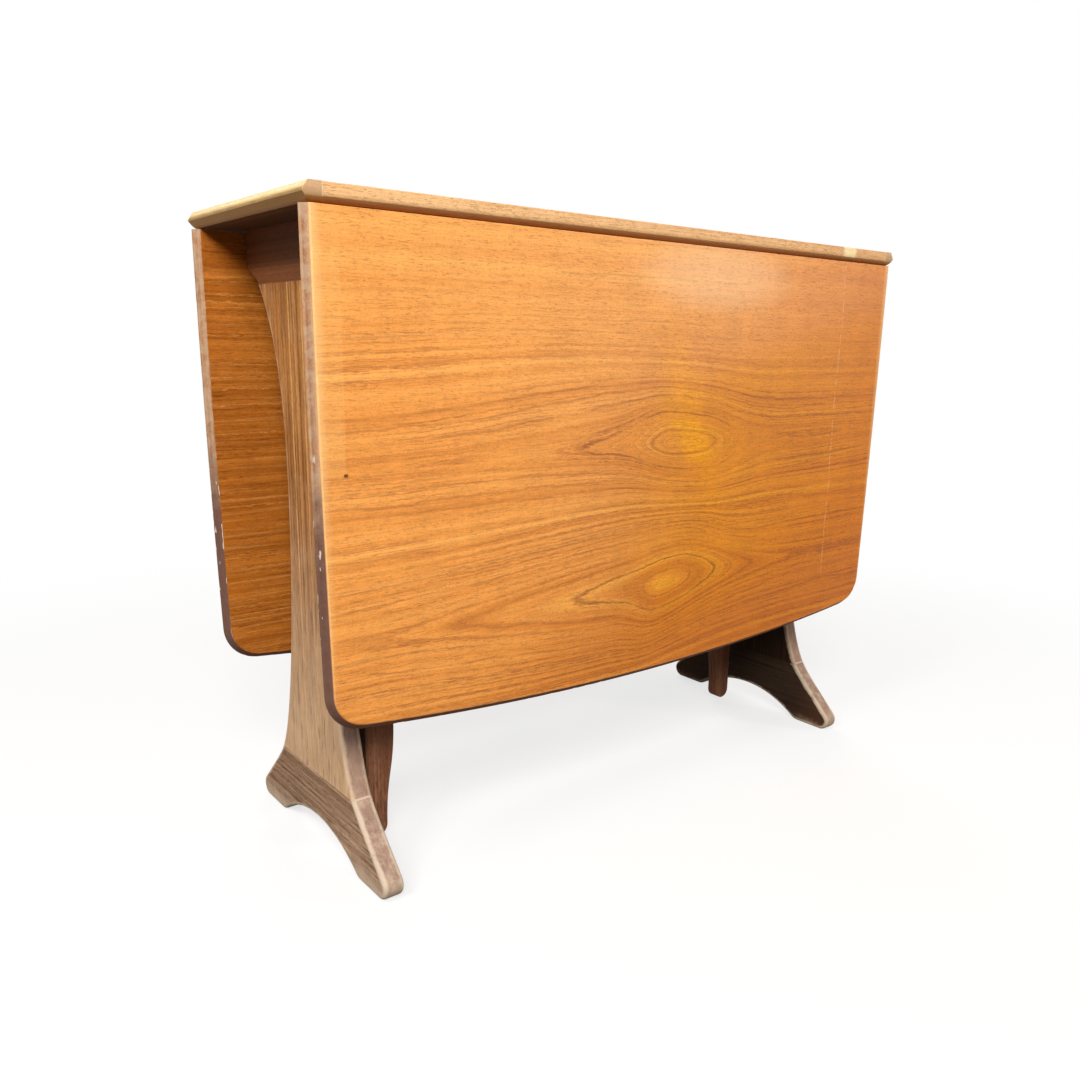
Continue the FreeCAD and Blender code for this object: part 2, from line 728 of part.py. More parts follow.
def twin(name, shape):
    # A rear piece and its front twin
    return {name + "_rear": shape, name + "_front": half_turn(shape)}


def doubled(shapes):
    return group(shapes + [half_turn(shape) for shape in shapes])


def all_pieces():
    pieces = {}
    pieces.update(top_pieces())
    pieces.update(frame_pieces())
    pieces.update(rail_pieces())
    long_dowels = [dowel(start, end) for start, end in frame_dowels() + rail_dowels()]
    own_dowels = [dowel(start, end) for start, end in post_dowels()]
    pieces["stand_dowels"] = group(doubled(long_dowels).Solids + own_dowels)
    pieces["top_brackets"] = brackets()
    pieces["top_bracket_screws"] = group([screw(point, way) for point, way in bracket_screws()])
    pieces.update(twin("top_hinge_flaps", top_hinge_flaps()))
    pieces.update(twin("leaf_hinge_pins", hinge_pins()))
    pieces["top_hinge_screws"] = doubled([screw(point, z_axis) for point in top_flap_screws()])
    pieces.update(twin("gate_fixed_flaps", gate_flaps(fixed=True)))
    pieces["gate_hinge_pins"] = doubled(gate_pins().Solids)
    pieces["gate_fixed_screws"] = doubled([screw(point, way) for point, way in gate_flap_screws(fixed=True)])
    for name, shape in gate_pieces().items():
        pieces["gate_rear_" + name] = shape
        pieces["gate_front_" + name] = half_turn(shape)
    for name, shape in leaf_pieces().items():
        hanging = hang(shape)
        rear, front = name, name
        if name.startswith("end_lipping"):
            rear, front = ("end_lipping_left", "end_lipping_right")
            if name.endswith("b"):
                rear, front = front, rear
        pieces["leaf_rear_" + rear] = hanging
        pieces["leaf_front_" + front] = half_turn(hanging)
    return pieces


os.makedirs("parts", exist_ok=True)
for node, shape in all_pieces().items():
    shape.exportStep("parts/" + node + ".step")
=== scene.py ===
import json
import math

import bmesh
import bpy
import numpy as np
from mathutils import Matrix, Vector


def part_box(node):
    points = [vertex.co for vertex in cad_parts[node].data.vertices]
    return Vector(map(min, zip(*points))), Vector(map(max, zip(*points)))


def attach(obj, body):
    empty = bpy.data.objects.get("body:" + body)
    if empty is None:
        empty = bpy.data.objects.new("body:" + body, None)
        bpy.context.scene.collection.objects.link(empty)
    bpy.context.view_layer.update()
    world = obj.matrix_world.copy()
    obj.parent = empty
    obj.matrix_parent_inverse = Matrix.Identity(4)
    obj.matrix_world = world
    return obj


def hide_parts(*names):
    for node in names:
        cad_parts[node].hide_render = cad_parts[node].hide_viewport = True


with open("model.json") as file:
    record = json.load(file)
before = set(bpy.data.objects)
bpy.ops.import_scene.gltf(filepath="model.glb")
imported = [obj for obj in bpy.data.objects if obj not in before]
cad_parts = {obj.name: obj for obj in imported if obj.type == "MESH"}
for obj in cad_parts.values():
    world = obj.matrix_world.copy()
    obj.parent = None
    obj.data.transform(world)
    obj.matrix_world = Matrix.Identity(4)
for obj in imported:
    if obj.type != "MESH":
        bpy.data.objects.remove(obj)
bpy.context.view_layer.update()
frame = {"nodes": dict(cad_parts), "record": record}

print("stage: frame loaded,", len(frame["nodes"]), "nodes")

tiny = 1e-6  # two points closer than this, in metres, are one


class Values(dict):
    # a dictionary whose entries also read as attributes
    __getattr__ = dict.__getitem__


def unit(vectors):
    return vectors / np.linalg.norm(vectors, axis=1, keepdims=True)


def lengths(points):
    # distance of each point from the first, along an open polyline
    return np.concatenate([[0], np.cumsum(np.linalg.norm(np.diff(points, axis=0), axis=1))])


def withoutDoubles(points):
    # the same closed polyline without the points that repeat the one before
    return points[np.linalg.norm(points - np.roll(points, 1, 0), axis=1) > tiny]


def rounded(corners, radii, steps):
    # closed polyline with arcs for corners: each starts and ends radius / tan(half angle) from its corner
    here = np.asarray(corners, float)
    size = np.broadcast_to(np.asarray(radii, float), len(here))[:, None]
    back = unit(np.roll(here, 1, 0) - here)
    ahead = unit(np.roll(here, -1, 0) - here)
    half = np.arccos(np.clip((back * ahead).sum(1), -1, 1))[:, None] / 2
    centre = here + unit(back + ahead) * size / np.sin(half)
    first = here + back * size / np.tan(half) - centre
    last = here + ahead * size / np.tan(half) - centre
    share = np.linspace(0, 1, steps + 1)[None, :, None]
    arc = first[:, None] * (1 - share) + last[:, None] * share
    length = np.maximum(np.linalg.norm(arc, axis=2, keepdims=True), 1e-12)
    return withoutDoubles((centre[:, None] + arc / length * size[:, None]).reshape(-1, 2))


def divided(points, step):
    # the same open polyline with more points, none further apart than step
    reach = lengths(points)
    places = np.unique(np.concatenate([reach, np.arange(0, reach[-1], step)]).round(7))
    return np.stack([np.interp(places, reach, column) for column in points.T], 1)


def bezier(poles, count):
    # cubic curve through its first and last pole, as count points
    t = np.linspace(0, 1, count)[:, None]
    a, b, c, d = np.asarray(poles, float)
    return (1 - t) ** 3 * a + 3 * t * (1 - t) ** 2 * b + 3 * t * t * (1 - t) * c + t ** 3 * d


def arcPoints(centre, radius, start, end, count):
    # points of a circle from one angle to another
    angle = np.linspace(start, end, count)
    return np.stack([centre[0] + radius * np.cos(angle), centre[1] + radius * np.sin(angle)], -1)


def mitres(outline, level=()):
    # inward step of each point of a closed outline that moves both its sides in by one;
    # a point on a level height keeps to it, so a glued joint stays shut
    ahead = np.roll(outline, -1, 0) - outline
    normal = unit(np.stack([-ahead[:, 1], ahead[:, 0]], 1))
    before = np.roll(normal, 1, 0)
    area = (outline[:, 0] * ahead[:, 1] - outline[:, 1] * ahead[:, 0]).sum()
    step = (normal + before) / (1 + (normal * before).sum(1))[:, None]
    sideways = np.where(np.abs(normal[:, 0]) > np.abs(before[:, 0]), normal[:, 0], before[:, 0])
    for height in level:
        on = np.abs(outline[:, 1] - height) < tiny
        step[on] = np.stack([1 / sideways[on], np.zeros(on.sum())], 1)
    return step * np.sign(area)


def bowRadius(half, rise):
    # radius of the arc over a chord, from half the chord and the arc's rise
    return (half ** 2 + rise ** 2) / (2 * rise)


def roughness(places, seed, spacing):
    # smooth random numbers, 0 to 1, along a length: seeded knots, spacing apart, joined by cosine steps
    knots = np.random.default_rng(seed).uniform(0, 1, int(places.max() / spacing) + 3)
    at = places / spacing
    first = np.floor(at).astype(int)
    share = (1 - np.cos((at - first) * np.pi)) / 2
    return knots[first] * (1 - share) + knots[first + 1] * share


def addObject(name, data):
    thing = bpy.data.objects.new(name, data)
    bpy.context.scene.collection.objects.link(thing)
    return thing


def meshFromGrid(name, grid, marks, smooth, uv=None):
    # grid[row, column] holds points: each row is a closed ring, quads join the rings, a face closes each end
    # marks are numbers per point that materials read; edges bent by more than smooth degrees stay sharp
    rows, columns = grid.shape[:2]
    r, c = np.meshgrid(np.arange(rows - 1), np.arange(columns), indexing="ij")
    corners = [(r + i) * columns + (c + j) % columns for i, j in ((0, 0), (1, 0), (1, 1), (0, 1))]
    faces = np.stack(corners, -1).reshape(-1, 4).tolist()
    faces += [list(range(columns)), list(range((rows - 1) * columns, rows * columns))]
    mesh = bpy.data.meshes.new(name)
    mesh.from_pydata(grid.reshape(-1, 3).tolist(), [], faces)
    for mark, values in marks.items():
        layer = mesh.attributes.new(mark, "FLOAT", "POINT")
        layer.data.foreach_set("value", np.broadcast_to(values, (rows, columns)).astype(np.float32).ravel())
    if uv is not None:
        layer = mesh.uv_layers.new(name="grainUv")
        index = np.empty(len(mesh.loops), np.int32)
        mesh.loops.foreach_get("vertex_index", index)
        layer.data.foreach_set("uv", uv.reshape(-1, 2)[index].astype(np.float32).ravel())
    closed = bmesh.new()
    closed.from_mesh(mesh)
    bmesh.ops.remove_doubles(closed, verts=closed.verts, dist=tiny)
    bmesh.ops.dissolve_degenerate(closed, edges=closed.edges, dist=tiny)
    bmesh.ops.recalc_face_normals(closed, faces=closed.faces)
    closed.to_mesh(mesh)
    closed.free()
    mesh.shade_smooth()
    mesh.set_sharp_from_angle(angle=math.radians(smooth))
    return addObject(name, mesh)


def halfTurn(grid):
    # the same points at the other end and side of the table
    return grid * (-1, -1, 1)


def makePiece(prefix, node, grid, marks, smooth, finish=None, uv=None):
    # a new piece rides where its node rides, stands for it and takes its finish
    piece = meshFromGrid(prefix + node, grid, marks, smooth, uv)
    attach(piece, bodyOf[node])
    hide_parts(node)
    piece.data.materials.append(finishes[finish or nodeFinish(node)])


def makePair(prefix, nodes, grid, marks, smooth):
    # the first node's piece, and for the second node the same one half a turn round
    for node, points in zip(nodes, (grid, halfTurn(grid))):
        makePiece(prefix, node, points, marks, smooth)


arrisWear = [0.0, 0.45, 0.8, 0.95, 1.0, 0.95, 0.8, 0.0]


def plate(outline, low, high, axis, arris, level=(), fade=0.006, diagonal=None):
    # a board: its outline moved in by the section's inset, at the section's depth between low and high
    # axis is the board's thin direction; wear is 1 on the arrises and fades out over both faces
    # diagonal is each point's way in past the arris, where the corner arcs have shrunk to a point
    turn = np.linspace(0, np.pi / 2, 5)
    deepest = min(arris + fade, (high - low) * 0.45)
    inset = np.concatenate([[fade + arris, fade * 0.4 + arris], arris * (1 - np.sin(turn)), [0.0]])
    depth = np.concatenate([[0.0, 0.0], arris * (1 - np.cos(turn)), [deepest]])
    inset = np.concatenate([inset, inset[::-1]])[:, None, None]
    depth = np.concatenate([low + depth, (high - depth)[::-1]])[:, None]
    step = mitres(outline, level)
    flat = outline + step * inset
    if diagonal is not None:
        flat = outline + step * np.minimum(inset, arris) + diagonal * np.maximum(inset - arris, 0)
    return np.insert(flat, axis, depth, axis=2), {"wear": np.array(arrisWear + arrisWear[::-1])[:, None]}


class Wire:
    # an output socket; arithmetic on it adds Math nodes
    def __init__(self, shader, socket):
        self.shader, self.socket = shader, socket

    def math(self, operation, *others):
        return self.shader.math(operation, self, *others)

    def __add__(self, other):
        return self.math("ADD", other)

    def __sub__(self, other):
        return self.math("SUBTRACT", other)

    def __mul__(self, other):
        return self.math("MULTIPLY", other)

    def __truediv__(self, other):
        return self.math("DIVIDE", other)

    def __rsub__(self, other):
        return self.shader.math("SUBTRACT", other, self)

    def __abs__(self):
        return self.math("ABSOLUTE")

    __radd__ = __add__
    __rmul__ = __mul__

    def above(self, low, high):
        # 0 below low, 1 above high, smooth between
        sockets = {"Value": self, "From Min": low, "From Max": high}
        return self.shader.wire("MapRange", sockets, {"interpolation_type": "SMOOTHSTEP"})

    def below(self, low, high):
        return 1 - self.above(low, high)

    def within(self, low, high, soft):
        # 1 between low and high, fading out over soft
        return self.above(low - soft, low) * self.below(high, high + soft)

    def tinted(self, share, other):
        # this colour with a share of another one: a wire, or a colour as seen on screen
        return self.shader.mix(share, self, other if isinstance(other, Wire) else tone(other))

    def dyed(self, share, factors):
        # this colour with a share of it multiplied
        return self.shader.mix(share, self, factors, "MULTIPLY")

    def varied(self, pattern, amount):
        # this colour made darker and lighter by a pattern around 0.5
        sockets = {0: self, "Scale": (pattern - 0.5) * amount + 1.0}
        return self.shader.wire("VectorMath", sockets, {"operation": "SCALE"})


class Shader:
    # the nodes of a material or of the world
    def __init__(self, owner):
        owner.use_nodes = True
        self.owner = owner
        self.tree = owner.node_tree
        self.tree.nodes.clear()

    def add(self, kind, sockets=None, settings=None):
        # any node: its settings first, then the values or links of its sockets
        node = self.tree.nodes.new("ShaderNode" + kind)
        for key, value in (settings or {}).items():
            setattr(node, key, value)
        for key, value in (sockets or {}).items():
            if isinstance(value, Wire):
                self.tree.links.new(value.socket, node.inputs[key])
            else:
                node.inputs[key].default_value = value
        return node

    def wire(self, kind, sockets=None, settings=None, output=0):
        # an output of a new node
        return Wire(self, self.add(kind, sockets, settings).outputs[output])

    def math(self, operation, *values):
        return self.wire("Math", dict(enumerate(values)), {"operation": operation})

    def parts(self, vector):
        return [Wire(self, output) for output in self.add("SeparateXYZ", {0: vector}).outputs]

    def place(self):
        # the piece's own coordinates, in metres
        at = self.wire("TexCoord", output="Object")
        return at, self.parts(at)

    def rimPlace(self):
        # metres along and round a rim piece
        return self.parts(self.wire("UVMap", None, {"uv_map": "grainUv"}))[:2]

    def mark(self, name):
        return self.wire("Attribute", None, {"attribute_name": name}, "Fac")

    def noise(self, place, detail, rough=0.5, scale=1.0):
        # place is a vector, or its three parts
        if not isinstance(place, Wire):
            place = self.wire("CombineXYZ", dict(enumerate(place)))
        sockets = {"Vector": place, "Scale": scale, "Detail": detail, "Roughness": rough}
        return self.wire("TexNoise", sockets, output="Fac")

    def noiseLine(self, value, detail, rough=0.5):
        sockets = {"W": value, "Scale": 1.0, "Detail": detail, "Roughness": rough}
        return self.wire("TexNoise", sockets, {"noise_dimensions": "1D"}, "Fac")

    def ramp(self, value, places, tones):
        node = self.add("ValToRGB", {0: value})
        stops = node.color_ramp.elements
        while len(stops) < len(places):
            stops.new(0.5)
        for stop, place, seen in zip(stops, places, tones):
            stop.position = place
            stop.color = (*tone(seen), 1)
        return Wire(self, node.outputs["Color"])

    def mix(self, share, first, second, blend="MIX"):
        # colours are wires or linear values
        first, second = [one if isinstance(one, Wire) else (*one, 1) for one in (first, second)]
        settings = {"data_type": "RGBA", "blend_type": blend}
        return self.wire("Mix", {0: share, 6: first, 7: second}, settings, 2)

    def finish(self, colour, rough, height, relief, values):
        # the surface shader; constant values go straight to its sockets
        bump = self.wire("Bump", {"Strength": 1.0, "Distance": relief, "Height": height})
        sockets = {"Base Color": colour, "Roughness": rough, "Normal": bump, **values}
        self.add("OutputMaterial", {0: self.wire("BsdfPrincipled", sockets)})
        return self.owner


def tone(seen):
    # a colour as seen on screen, 0 to 255, as the linear values that shaders use
    seen = np.array(seen) / 255
    return tuple(np.where(seen <= 0.04045, seen / 12.92, ((seen + 0.055) / 1.055) ** 2.4).tolist())


waves = {  # how many of each pattern's waves lie in a metre along, across and into the wood
    "fibres": (26, 560, 500), "dashes": (70, 420, 420), "drift": (2.2, 5, 5), "presence": (5, 16, 16),
    "pores": (150, 900, 900), "speck": (420, 520, 520), "cloud": (34, 11, 11),
}


def woodColour(shader, along, across, depth, look, figure=None, calm=1.0):
    # growth rings are level lines of a field across the board; fibres and pores are drawn out along the grain
    # and jag the rings; calm fades the rings out where it nears 0
    seed = look.seed

    def pattern(name, detail, rough=0.5, moved=None):
        place = [axis * often for axis, often in zip((along, across, depth), waves[name])]
        if moved is not None:
            place[moved] = place[moved] + seed
        return shader.noise(place, detail, rough)

    warpAt = (along * look.warpAlong, across * look.warpAcross, depth * look.warpAcross)
    warp = shader.noise(warpAt, 4, 0.55) - 0.5
    fibres = pattern("fibres", 4, 0.65)
    dashes = pattern("dashes", 2, 0.6, 2)
    field = across + depth * 0.35 if figure is None else figure
    field = field + warp * look.warp + (dashes - 0.5) * look.jag
    soft = (shader.noiseLine(field * look.bands + seed, 3, 0.55) - 0.5) * calm + 0.5
    drifted = soft * (1 - look.drift) + pattern("drift", 3, 0.5, 1) * look.drift
    colour = shader.ramp(drifted, look.places, look.tones)
    # dark ring lines, present only in places
    lineNoise = shader.noiseLine(field * look.rings + seed * 3, 2, 0.6)
    ridge = abs(lineNoise - 0.5).below(0.0, look.lineWidth)
    presence = pattern("presence", 3, 0.6).above(0.36, 0.58)
    broken = dashes.above(0.30, 0.62) * 0.7 + 0.3
    colour = colour.tinted(ridge * presence * broken * calm * look.lines, look.lineTone)
    # light streaks
    pale = shader.noiseLine(field * look.rings * 1.7 + seed * 7, 3, 0.6).above(0.60, 0.70)
    colour = colour.tinted(pale * look.pale, look.paleTone)
    colour = colour.varied(fibres, look.fibres)
    pores = pattern("pores", 1).above(0.59, 0.69)
    colour = colour.tinted(pores * look.pores, look.poreTone)
    colour = colour.varied(pattern("speck", 3, 0.7), look.speck)
    # soft cross figure: slow light and dark patches, taller than wide
    colour = colour.varied(pattern("cloud", 3, 0.6), look.cloud)
    return colour, soft, fibres * 0.6 - pores


evenPlaces = (0.34, 0.46, 0.58, 0.70)
veneerLook = Values(
    warpAlong=3.2, warpAcross=16.0, warp=0.012, jag=0.0040, bands=55.0, rings=120.0,
    seed=3.1, drift=0.40, places=(0.34, 0.46, 0.56, 0.68),
    tones=[(214, 136, 64), (232, 154, 76), (241, 166, 88), (252, 184, 96)],
    lines=0.60, lineWidth=0.050, lineTone=(150, 82, 46), pale=0.10, paleTone=(255, 200, 112),
    fibres=0.56, pores=0.36, poreTone=(160, 92, 44), speck=0.58, cloud=0.24,
)
# the leaf's figure, in metres: a ring field with two long ridges, and swells that close its lines into eyes
ridges = Values(upper=0.468, lower=0.294, slope=0.010, round=0.06, blend=0.15)
swells = [  # height, centre along and across, reach to the left, right and across, tilt
    (-0.027, 0.016, 0.463, 0.050, 0.110, 0.060, -0.31), (-0.034, 0.074, 0.478, 0.333, 0.085, 0.082, -0.22),
    (0.027, 0.007, 0.273, 0.050, 0.110, 0.060, 0.56), (0.036, -0.019, 0.300, 0.265, 0.179, 0.120, 0.23),
    (-0.015, 0.128, 0.356, 0.051, 0.109, 0.025, 0.0), (-0.014, 0.200, 0.434, 0.220, 0.218, 0.030, 0.05),
]
darkRings = [  # level of the ring field, stretch along the leaf, strength
    (-0.008, -0.16, 0.10, 0.75), (-0.035, -0.06, 0.06, 0.45), (0.022, -0.30, 0.40, 0.45),
    (0.036, -0.45, 0.30, 0.45), (0.049, -0.20, 0.45, 0.40), (0.091, -0.45, 0.45, 0.35),
    (0.124, -0.30, 0.45, 0.45), (0.140, -0.45, 0.20, 0.45), (0.165, -0.42, -0.20, 0.35),
    (0.175, -0.30, -0.08, 0.35), (0.192, -0.14, 0.13, 0.70), (0.213, -0.05, 0.05, 0.40),
]
leafMarks = Values(  # places are metres along the leaf and up from the floor
    face=(0.1400, 0.1410), calm=(0.52, 0.62), streakTone=(232, 166, 98), ringWidth=0.0022,
    deep=(-0.70, 0.05), deepTint=tone((224, 191, 104)),
    goldenUp=(0.24, 0.50), goldenAlong=(-0.12, 0.10), goldenTint=(1.0, 0.98, 0.38),
    lightUp=(0.58, 0.66), lightAlong=(-0.32, -0.02), lightTint=(1.09, 1.08, 1.04),
    knots=[  # centre, reach, strength
        (0.060, 0.463, 0.044, 1.00), (0.030, 0.500, 0.060, 0.45), (0.120, 0.452, 0.070, 0.25),
        (0.008, 0.293, 0.044, 0.35)],
    knotTint=(1.14, 1.22, 0.28),
    smear=(0.024, 0.568), smearHalf=0.042, smearUp=(0.40, 0.55), smearTint=(1.10, 1.13, 0.55),
    bloom=(0.087, 0.668), bloomReach=(0.16, 0.05), bloomTone=(254, 212, 166),
    end=(0.4374, 0.4500), endTone=(250, 204, 142),
    patch=(-0.4475, -0.4236), patchUp=(0.459, 0.509, 0.640), patchTone=(250, 196, 120),
    dot=(-0.4234, 0.4596), dotSize=0.0028, dotTone=(92, 36, 12),
    scratch=(0.3450, 0.3462), scratchUp=(0.27, 0.69), scratchTone=(240, 196, 146),
)


def figureField(along, across):
    # 0 on the upper ridge, rising to the lower one and upwards, falling below it, plus each swell:
    # height * exp(-(dx / reach)^2 - (dz / reachAcross)^2)
    span = ridges.upper - ridges.lower
    share = (along * ridges.slope + ridges.upper - across) / span
    fold = ((1 - share) * (1 - share) + ridges.round ** 2).math("SQRT")
    field = (share * -1.0).math("SMOOTH_MAX", 1 - fold, ridges.blend) * span
    for height, x, z, left, right, reach, tilt in swells:
        dx = along - x
        run = dx.math("MINIMUM", 0.0) / left + dx.math("MAXIMUM", 0.0) / right
        rise = (across - z - dx * tilt) / reach
        field = field + ((run * run + rise * rise) * -1.0).math("EXPONENT") * height
    return field


def leafStainsAndLight(colour, along, z, sway, faint):
    # painted light and shade: darker and redder towards one end, paler towards the other, as the light falls
    # across the leaf; then its own golden band, knots and smear, and a painted sheen
    m = leafMarks
    # painted shade: darker and redder towards the lower right, where less light falls
    colour = colour.dyed((along * 0.8 - z * 0.9).above(*m.deep), m.deepTint)
    golden = (z - along * 0.25).within(*m.goldenUp, 0.06) * along.above(*m.goldenAlong)
    colour = colour.dyed(golden, m.goldenTint)
    # painted light: paler low at the left end, where more light falls
    colour = colour.dyed(along.below(*m.lightAlong) * z.below(*m.lightUp), m.lightTint)
    for knotAlong, knotUp, reach, strength in m.knots:
        knotX, knotZ = along + sway * 0.08 - knotAlong, z - sway * 0.07 - knotUp
        lean = knotX + knotZ * 0.45
        knot = (lean * lean * 1.6 + knotZ * knotZ).below(0.0, reach * reach)
        colour = colour.dyed(knot * (faint * 0.9 + 0.35) * strength, m.knotTint)
    # a yellow smear leans down across the upper eye
    smearAlong, smearTop = m.smear
    beside = abs(along + sway * 0.05 - smearAlong - (smearTop - z) * 0.42)
    smear = beside.below(0.0, m.smearHalf) * z.within(*m.smearUp, 0.09)
    colour = colour.dyed(smear * (faint * 0.7 + 0.20), m.smearTint)
    # painted sheen: a pale patch near the top stands in for the lamp's highlight on the finish
    sheenX, sheenZ = (along - m.bloom[0]) / m.bloomReach[0], (z - m.bloom[1]) / m.bloomReach[1]
    bloom = (sheenX * sheenX + sheenZ * sheenZ).below(0.0, 1.0)
    return colour.tinted(bloom * 0.34, m.bloomTone)


def leafDamage(shader, colour, along, z):
    # the end lippings' faces and a repair along one of them are paler; a plugged hole; a fine scratch
    m = leafMarks
    colour = colour.tinted(abs(along).above(*m.end) * 0.55, m.endTone)
    low, bend, high = m.patchUp
    patch = along.within(*m.patch, 0.0012) * z.within(low, bend, 0.0015) * 0.28
    patch = patch + along.within(*m.patch, 0.0014) * z.within(bend, high, 0.09) * 0.5
    colour = colour.tinted(patch * 0.34, m.patchTone)
    fromX, fromZ = along - m.dot[0], z - m.dot[1]
    dot = (fromX * fromX + fromZ * fromZ * 1.8).below(m.dotSize ** 2 * 0.5, m.dotSize ** 2)
    colour = colour.tinted(dot * 0.9, m.dotTone)
    wander = (shader.noiseLine(z * 9.0, 2) - 0.5) * 0.012
    scratch = (along + wander).within(*m.scratch, 0.0012) * z.within(*m.scratchUp, 0.02)
    broken = shader.noiseLine(z * 60.0 + 4.0, 4, 0.75).above(0.36, 0.62)
    return colour.tinted(scratch * broken * 0.32, m.scratchTone)


def leafFace(shader, along, z, y):
    # the figured veneer of a leaf's outer face; its rings fade out towards the top
    field = figureField(along, z)
    calm = 1 - (z + along * 0.08).above(*leafMarks.calm) * 0.65
    colour, soft, height = woodColour(shader, along, z, y, veneerLook, field, calm)
    jag = (shader.noise((along * 90, z * 380, 0.0), 3, 0.6) - 0.5) * 0.0045
    sway = shader.noise((along * 9, z * 22, 0.0), 3, 0.55) - 0.5
    swayed = field + sway * 0.016 + jag
    faint = shader.noise((along * 14, z * 40, 0.0), 2)
    present = faint.above(0.28, 0.55)
    for level, low, high, strength in darkRings:
        ring = abs(swayed - level).below(0.0, leafMarks.ringWidth)
        share = ring * calm * along.within(low, high, 0.04) * present
        colour = colour.tinted(share * strength, veneerLook.lineTone)
    colour = leafStainsAndLight(colour, along, z, sway, faint)
    return leafDamage(shader, colour, along, z), soft, height


innerLook = Values(
    veneerLook, warp=0.010, jag=0.007, warpAlong=5.0, bands=90.0, rings=190.0, seed=9.4, fibres=0.7,
    lineWidth=0.06, pale=0.45, drift=0.55, cloud=0.14, places=evenPlaces,
    tones=[(156, 84, 18), (176, 100, 28), (192, 114, 38), (204, 128, 52)],
    lineTone=(104, 50, 12), poreTone=(104, 52, 14), paleTone=(222, 154, 78))
lippingLook = Values(
    veneerLook, warp=0.004, jag=0.002, bands=110.0, rings=220.0, seed=5.0, cloud=0.10, pale=0.25,
    places=evenPlaces, tones=[(142, 100, 72), (170, 126, 93), (186, 143, 108), (202, 162, 128)],
    lineTone=(124, 80, 56), poreTone=(112, 74, 52), paleTone=(232, 204, 170))
rimMarks = Values(  # places are heights
    blotchTone=(190, 168, 142), stained=(0.45, 0.58), stainedTone=(88, 58, 54),
    brown=(0.188, 0.222), brownTone=(116, 70, 40), wornTone=(226, 196, 168),
    rubbedOff=(0.344, 0.374), chipped=(0.27, 0.46), chipTone=(224, 206, 190),
    faceWornTone=(248, 206, 160),
)


def rimColour(shader, at, z, face):
    # the lipping's own wood shows on the nose: darker low down, worn on its arrises, chipped in places,
    # plain brown along the lower edge
    m = rimMarks
    run, around = shader.rimPlace()
    lipping, _, _ = woodColour(shader, run, around, 0.0, lippingLook)
    edge, wear = shader.mark("edge"), shader.mark("wear")
    grime = shader.noise(at, 4, 0.65, 30)
    blotch = shader.noise(at, 4, 0.7, 75).above(0.40, 0.62)
    lipping = lipping.tinted(blotch * 0.45, m.blotchTone)
    lipping = lipping.tinted((z + grime * 0.16).below(*m.stained) * 0.85, m.stainedTone)
    worn = (wear * 0.7 + grime * 0.75).above(0.92, 1.10)
    lipping = lipping.tinted(worn * 0.70, m.wornTone)
    lipping = lipping.tinted(z.below(*m.brown), m.brownTone)
    rubbedOff = z.within(*m.rubbedOff, 0.006) * wear * 0.16
    chips = shader.noise((run * 52, around * 210, 0.0), 2, 0.6) + wear * 0.10 + rubbedOff
    chips = chips.above(0.675, 0.715) * z.within(*m.chipped, 0.04)
    lipping = lipping.tinted(chips * 0.85, m.chipTone)
    worn = (wear * 0.8 + grime * 0.5).above(0.88, 1.1) * (1 - edge)
    return face.tinted(edge, lipping).tinted(worn * 0.45, m.faceWornTone), edge


def leafMaterial(name, rim):
    # figured veneer outside and plainer, stripier veneer inside; both leaves share it, half a turn apart
    shader = Shader(bpy.data.materials.new(name))
    at, (x, y, z) = shader.place()
    along = x * (y.math("LESS_THAN", 0.0) * 2.0 - 1.0)
    outward = abs(y)
    face, soft, height = leafFace(shader, along, z, outward)
    inner, _, _ = woodColour(shader, along, z, outward, innerLook)
    streak = shader.noise((along * 5, z * 210, 0.0), 3, 0.6).above(0.50, 0.68)
    inner = inner.tinted(streak * (1.25 - z * 1.4) * 0.42, leafMarks.streakTone)
    colour = inner.tinted(outward.above(*leafMarks.face), face)
    if rim:
        colour, edge = rimColour(shader, at, z, colour)
        soft = soft + edge * 3.5
    return shader.finish(colour, soft * 0.12 + 0.40, height, 0.00010, {"Specular IOR Level": 0.22})


def plainWood(name, grain, look, rough, worn=None, extra=None, gloss=0.10):
    # solid wood: grain is the axis it runs along, worn the arrises' tone and its share
    shader = Shader(bpy.data.materials.new(name))
    at, xyz = shader.place()
    across, depth = [xyz[i] for i in ((1, 2), (2, 0), (1, 0))[grain]]
    colour, soft, height = woodColour(shader, xyz[grain], across, depth, look)
    if extra:
        colour = extra(shader, at, xyz, colour)
    if worn:
        wear = (shader.mark("wear") * 0.75 + shader.noise(at, 4, 0.65, 42) * 0.8).above(0.80, 1.14)
        colour = colour.tinted(wear * worn[1], worn[0])
    return shader.finish(colour, soft * 0.1 + rough, height, 0.0002, {"Specular IOR Level": gloss})


def metal(name, seen, rough):
    # dull metal with patchy tarnish
    shader = Shader(bpy.data.materials.new(name))
    at, _ = shader.place()
    patch = shader.noise(at, 4, 0.65, 160)
    bright = tone(seen)
    dull = shader.mix(patch * 0.25, bright, tuple(value * 0.35 for value in bright))
    return shader.finish(dull, patch * 0.2 + rough, patch, 0.00005, {"Metallic": 1.0})


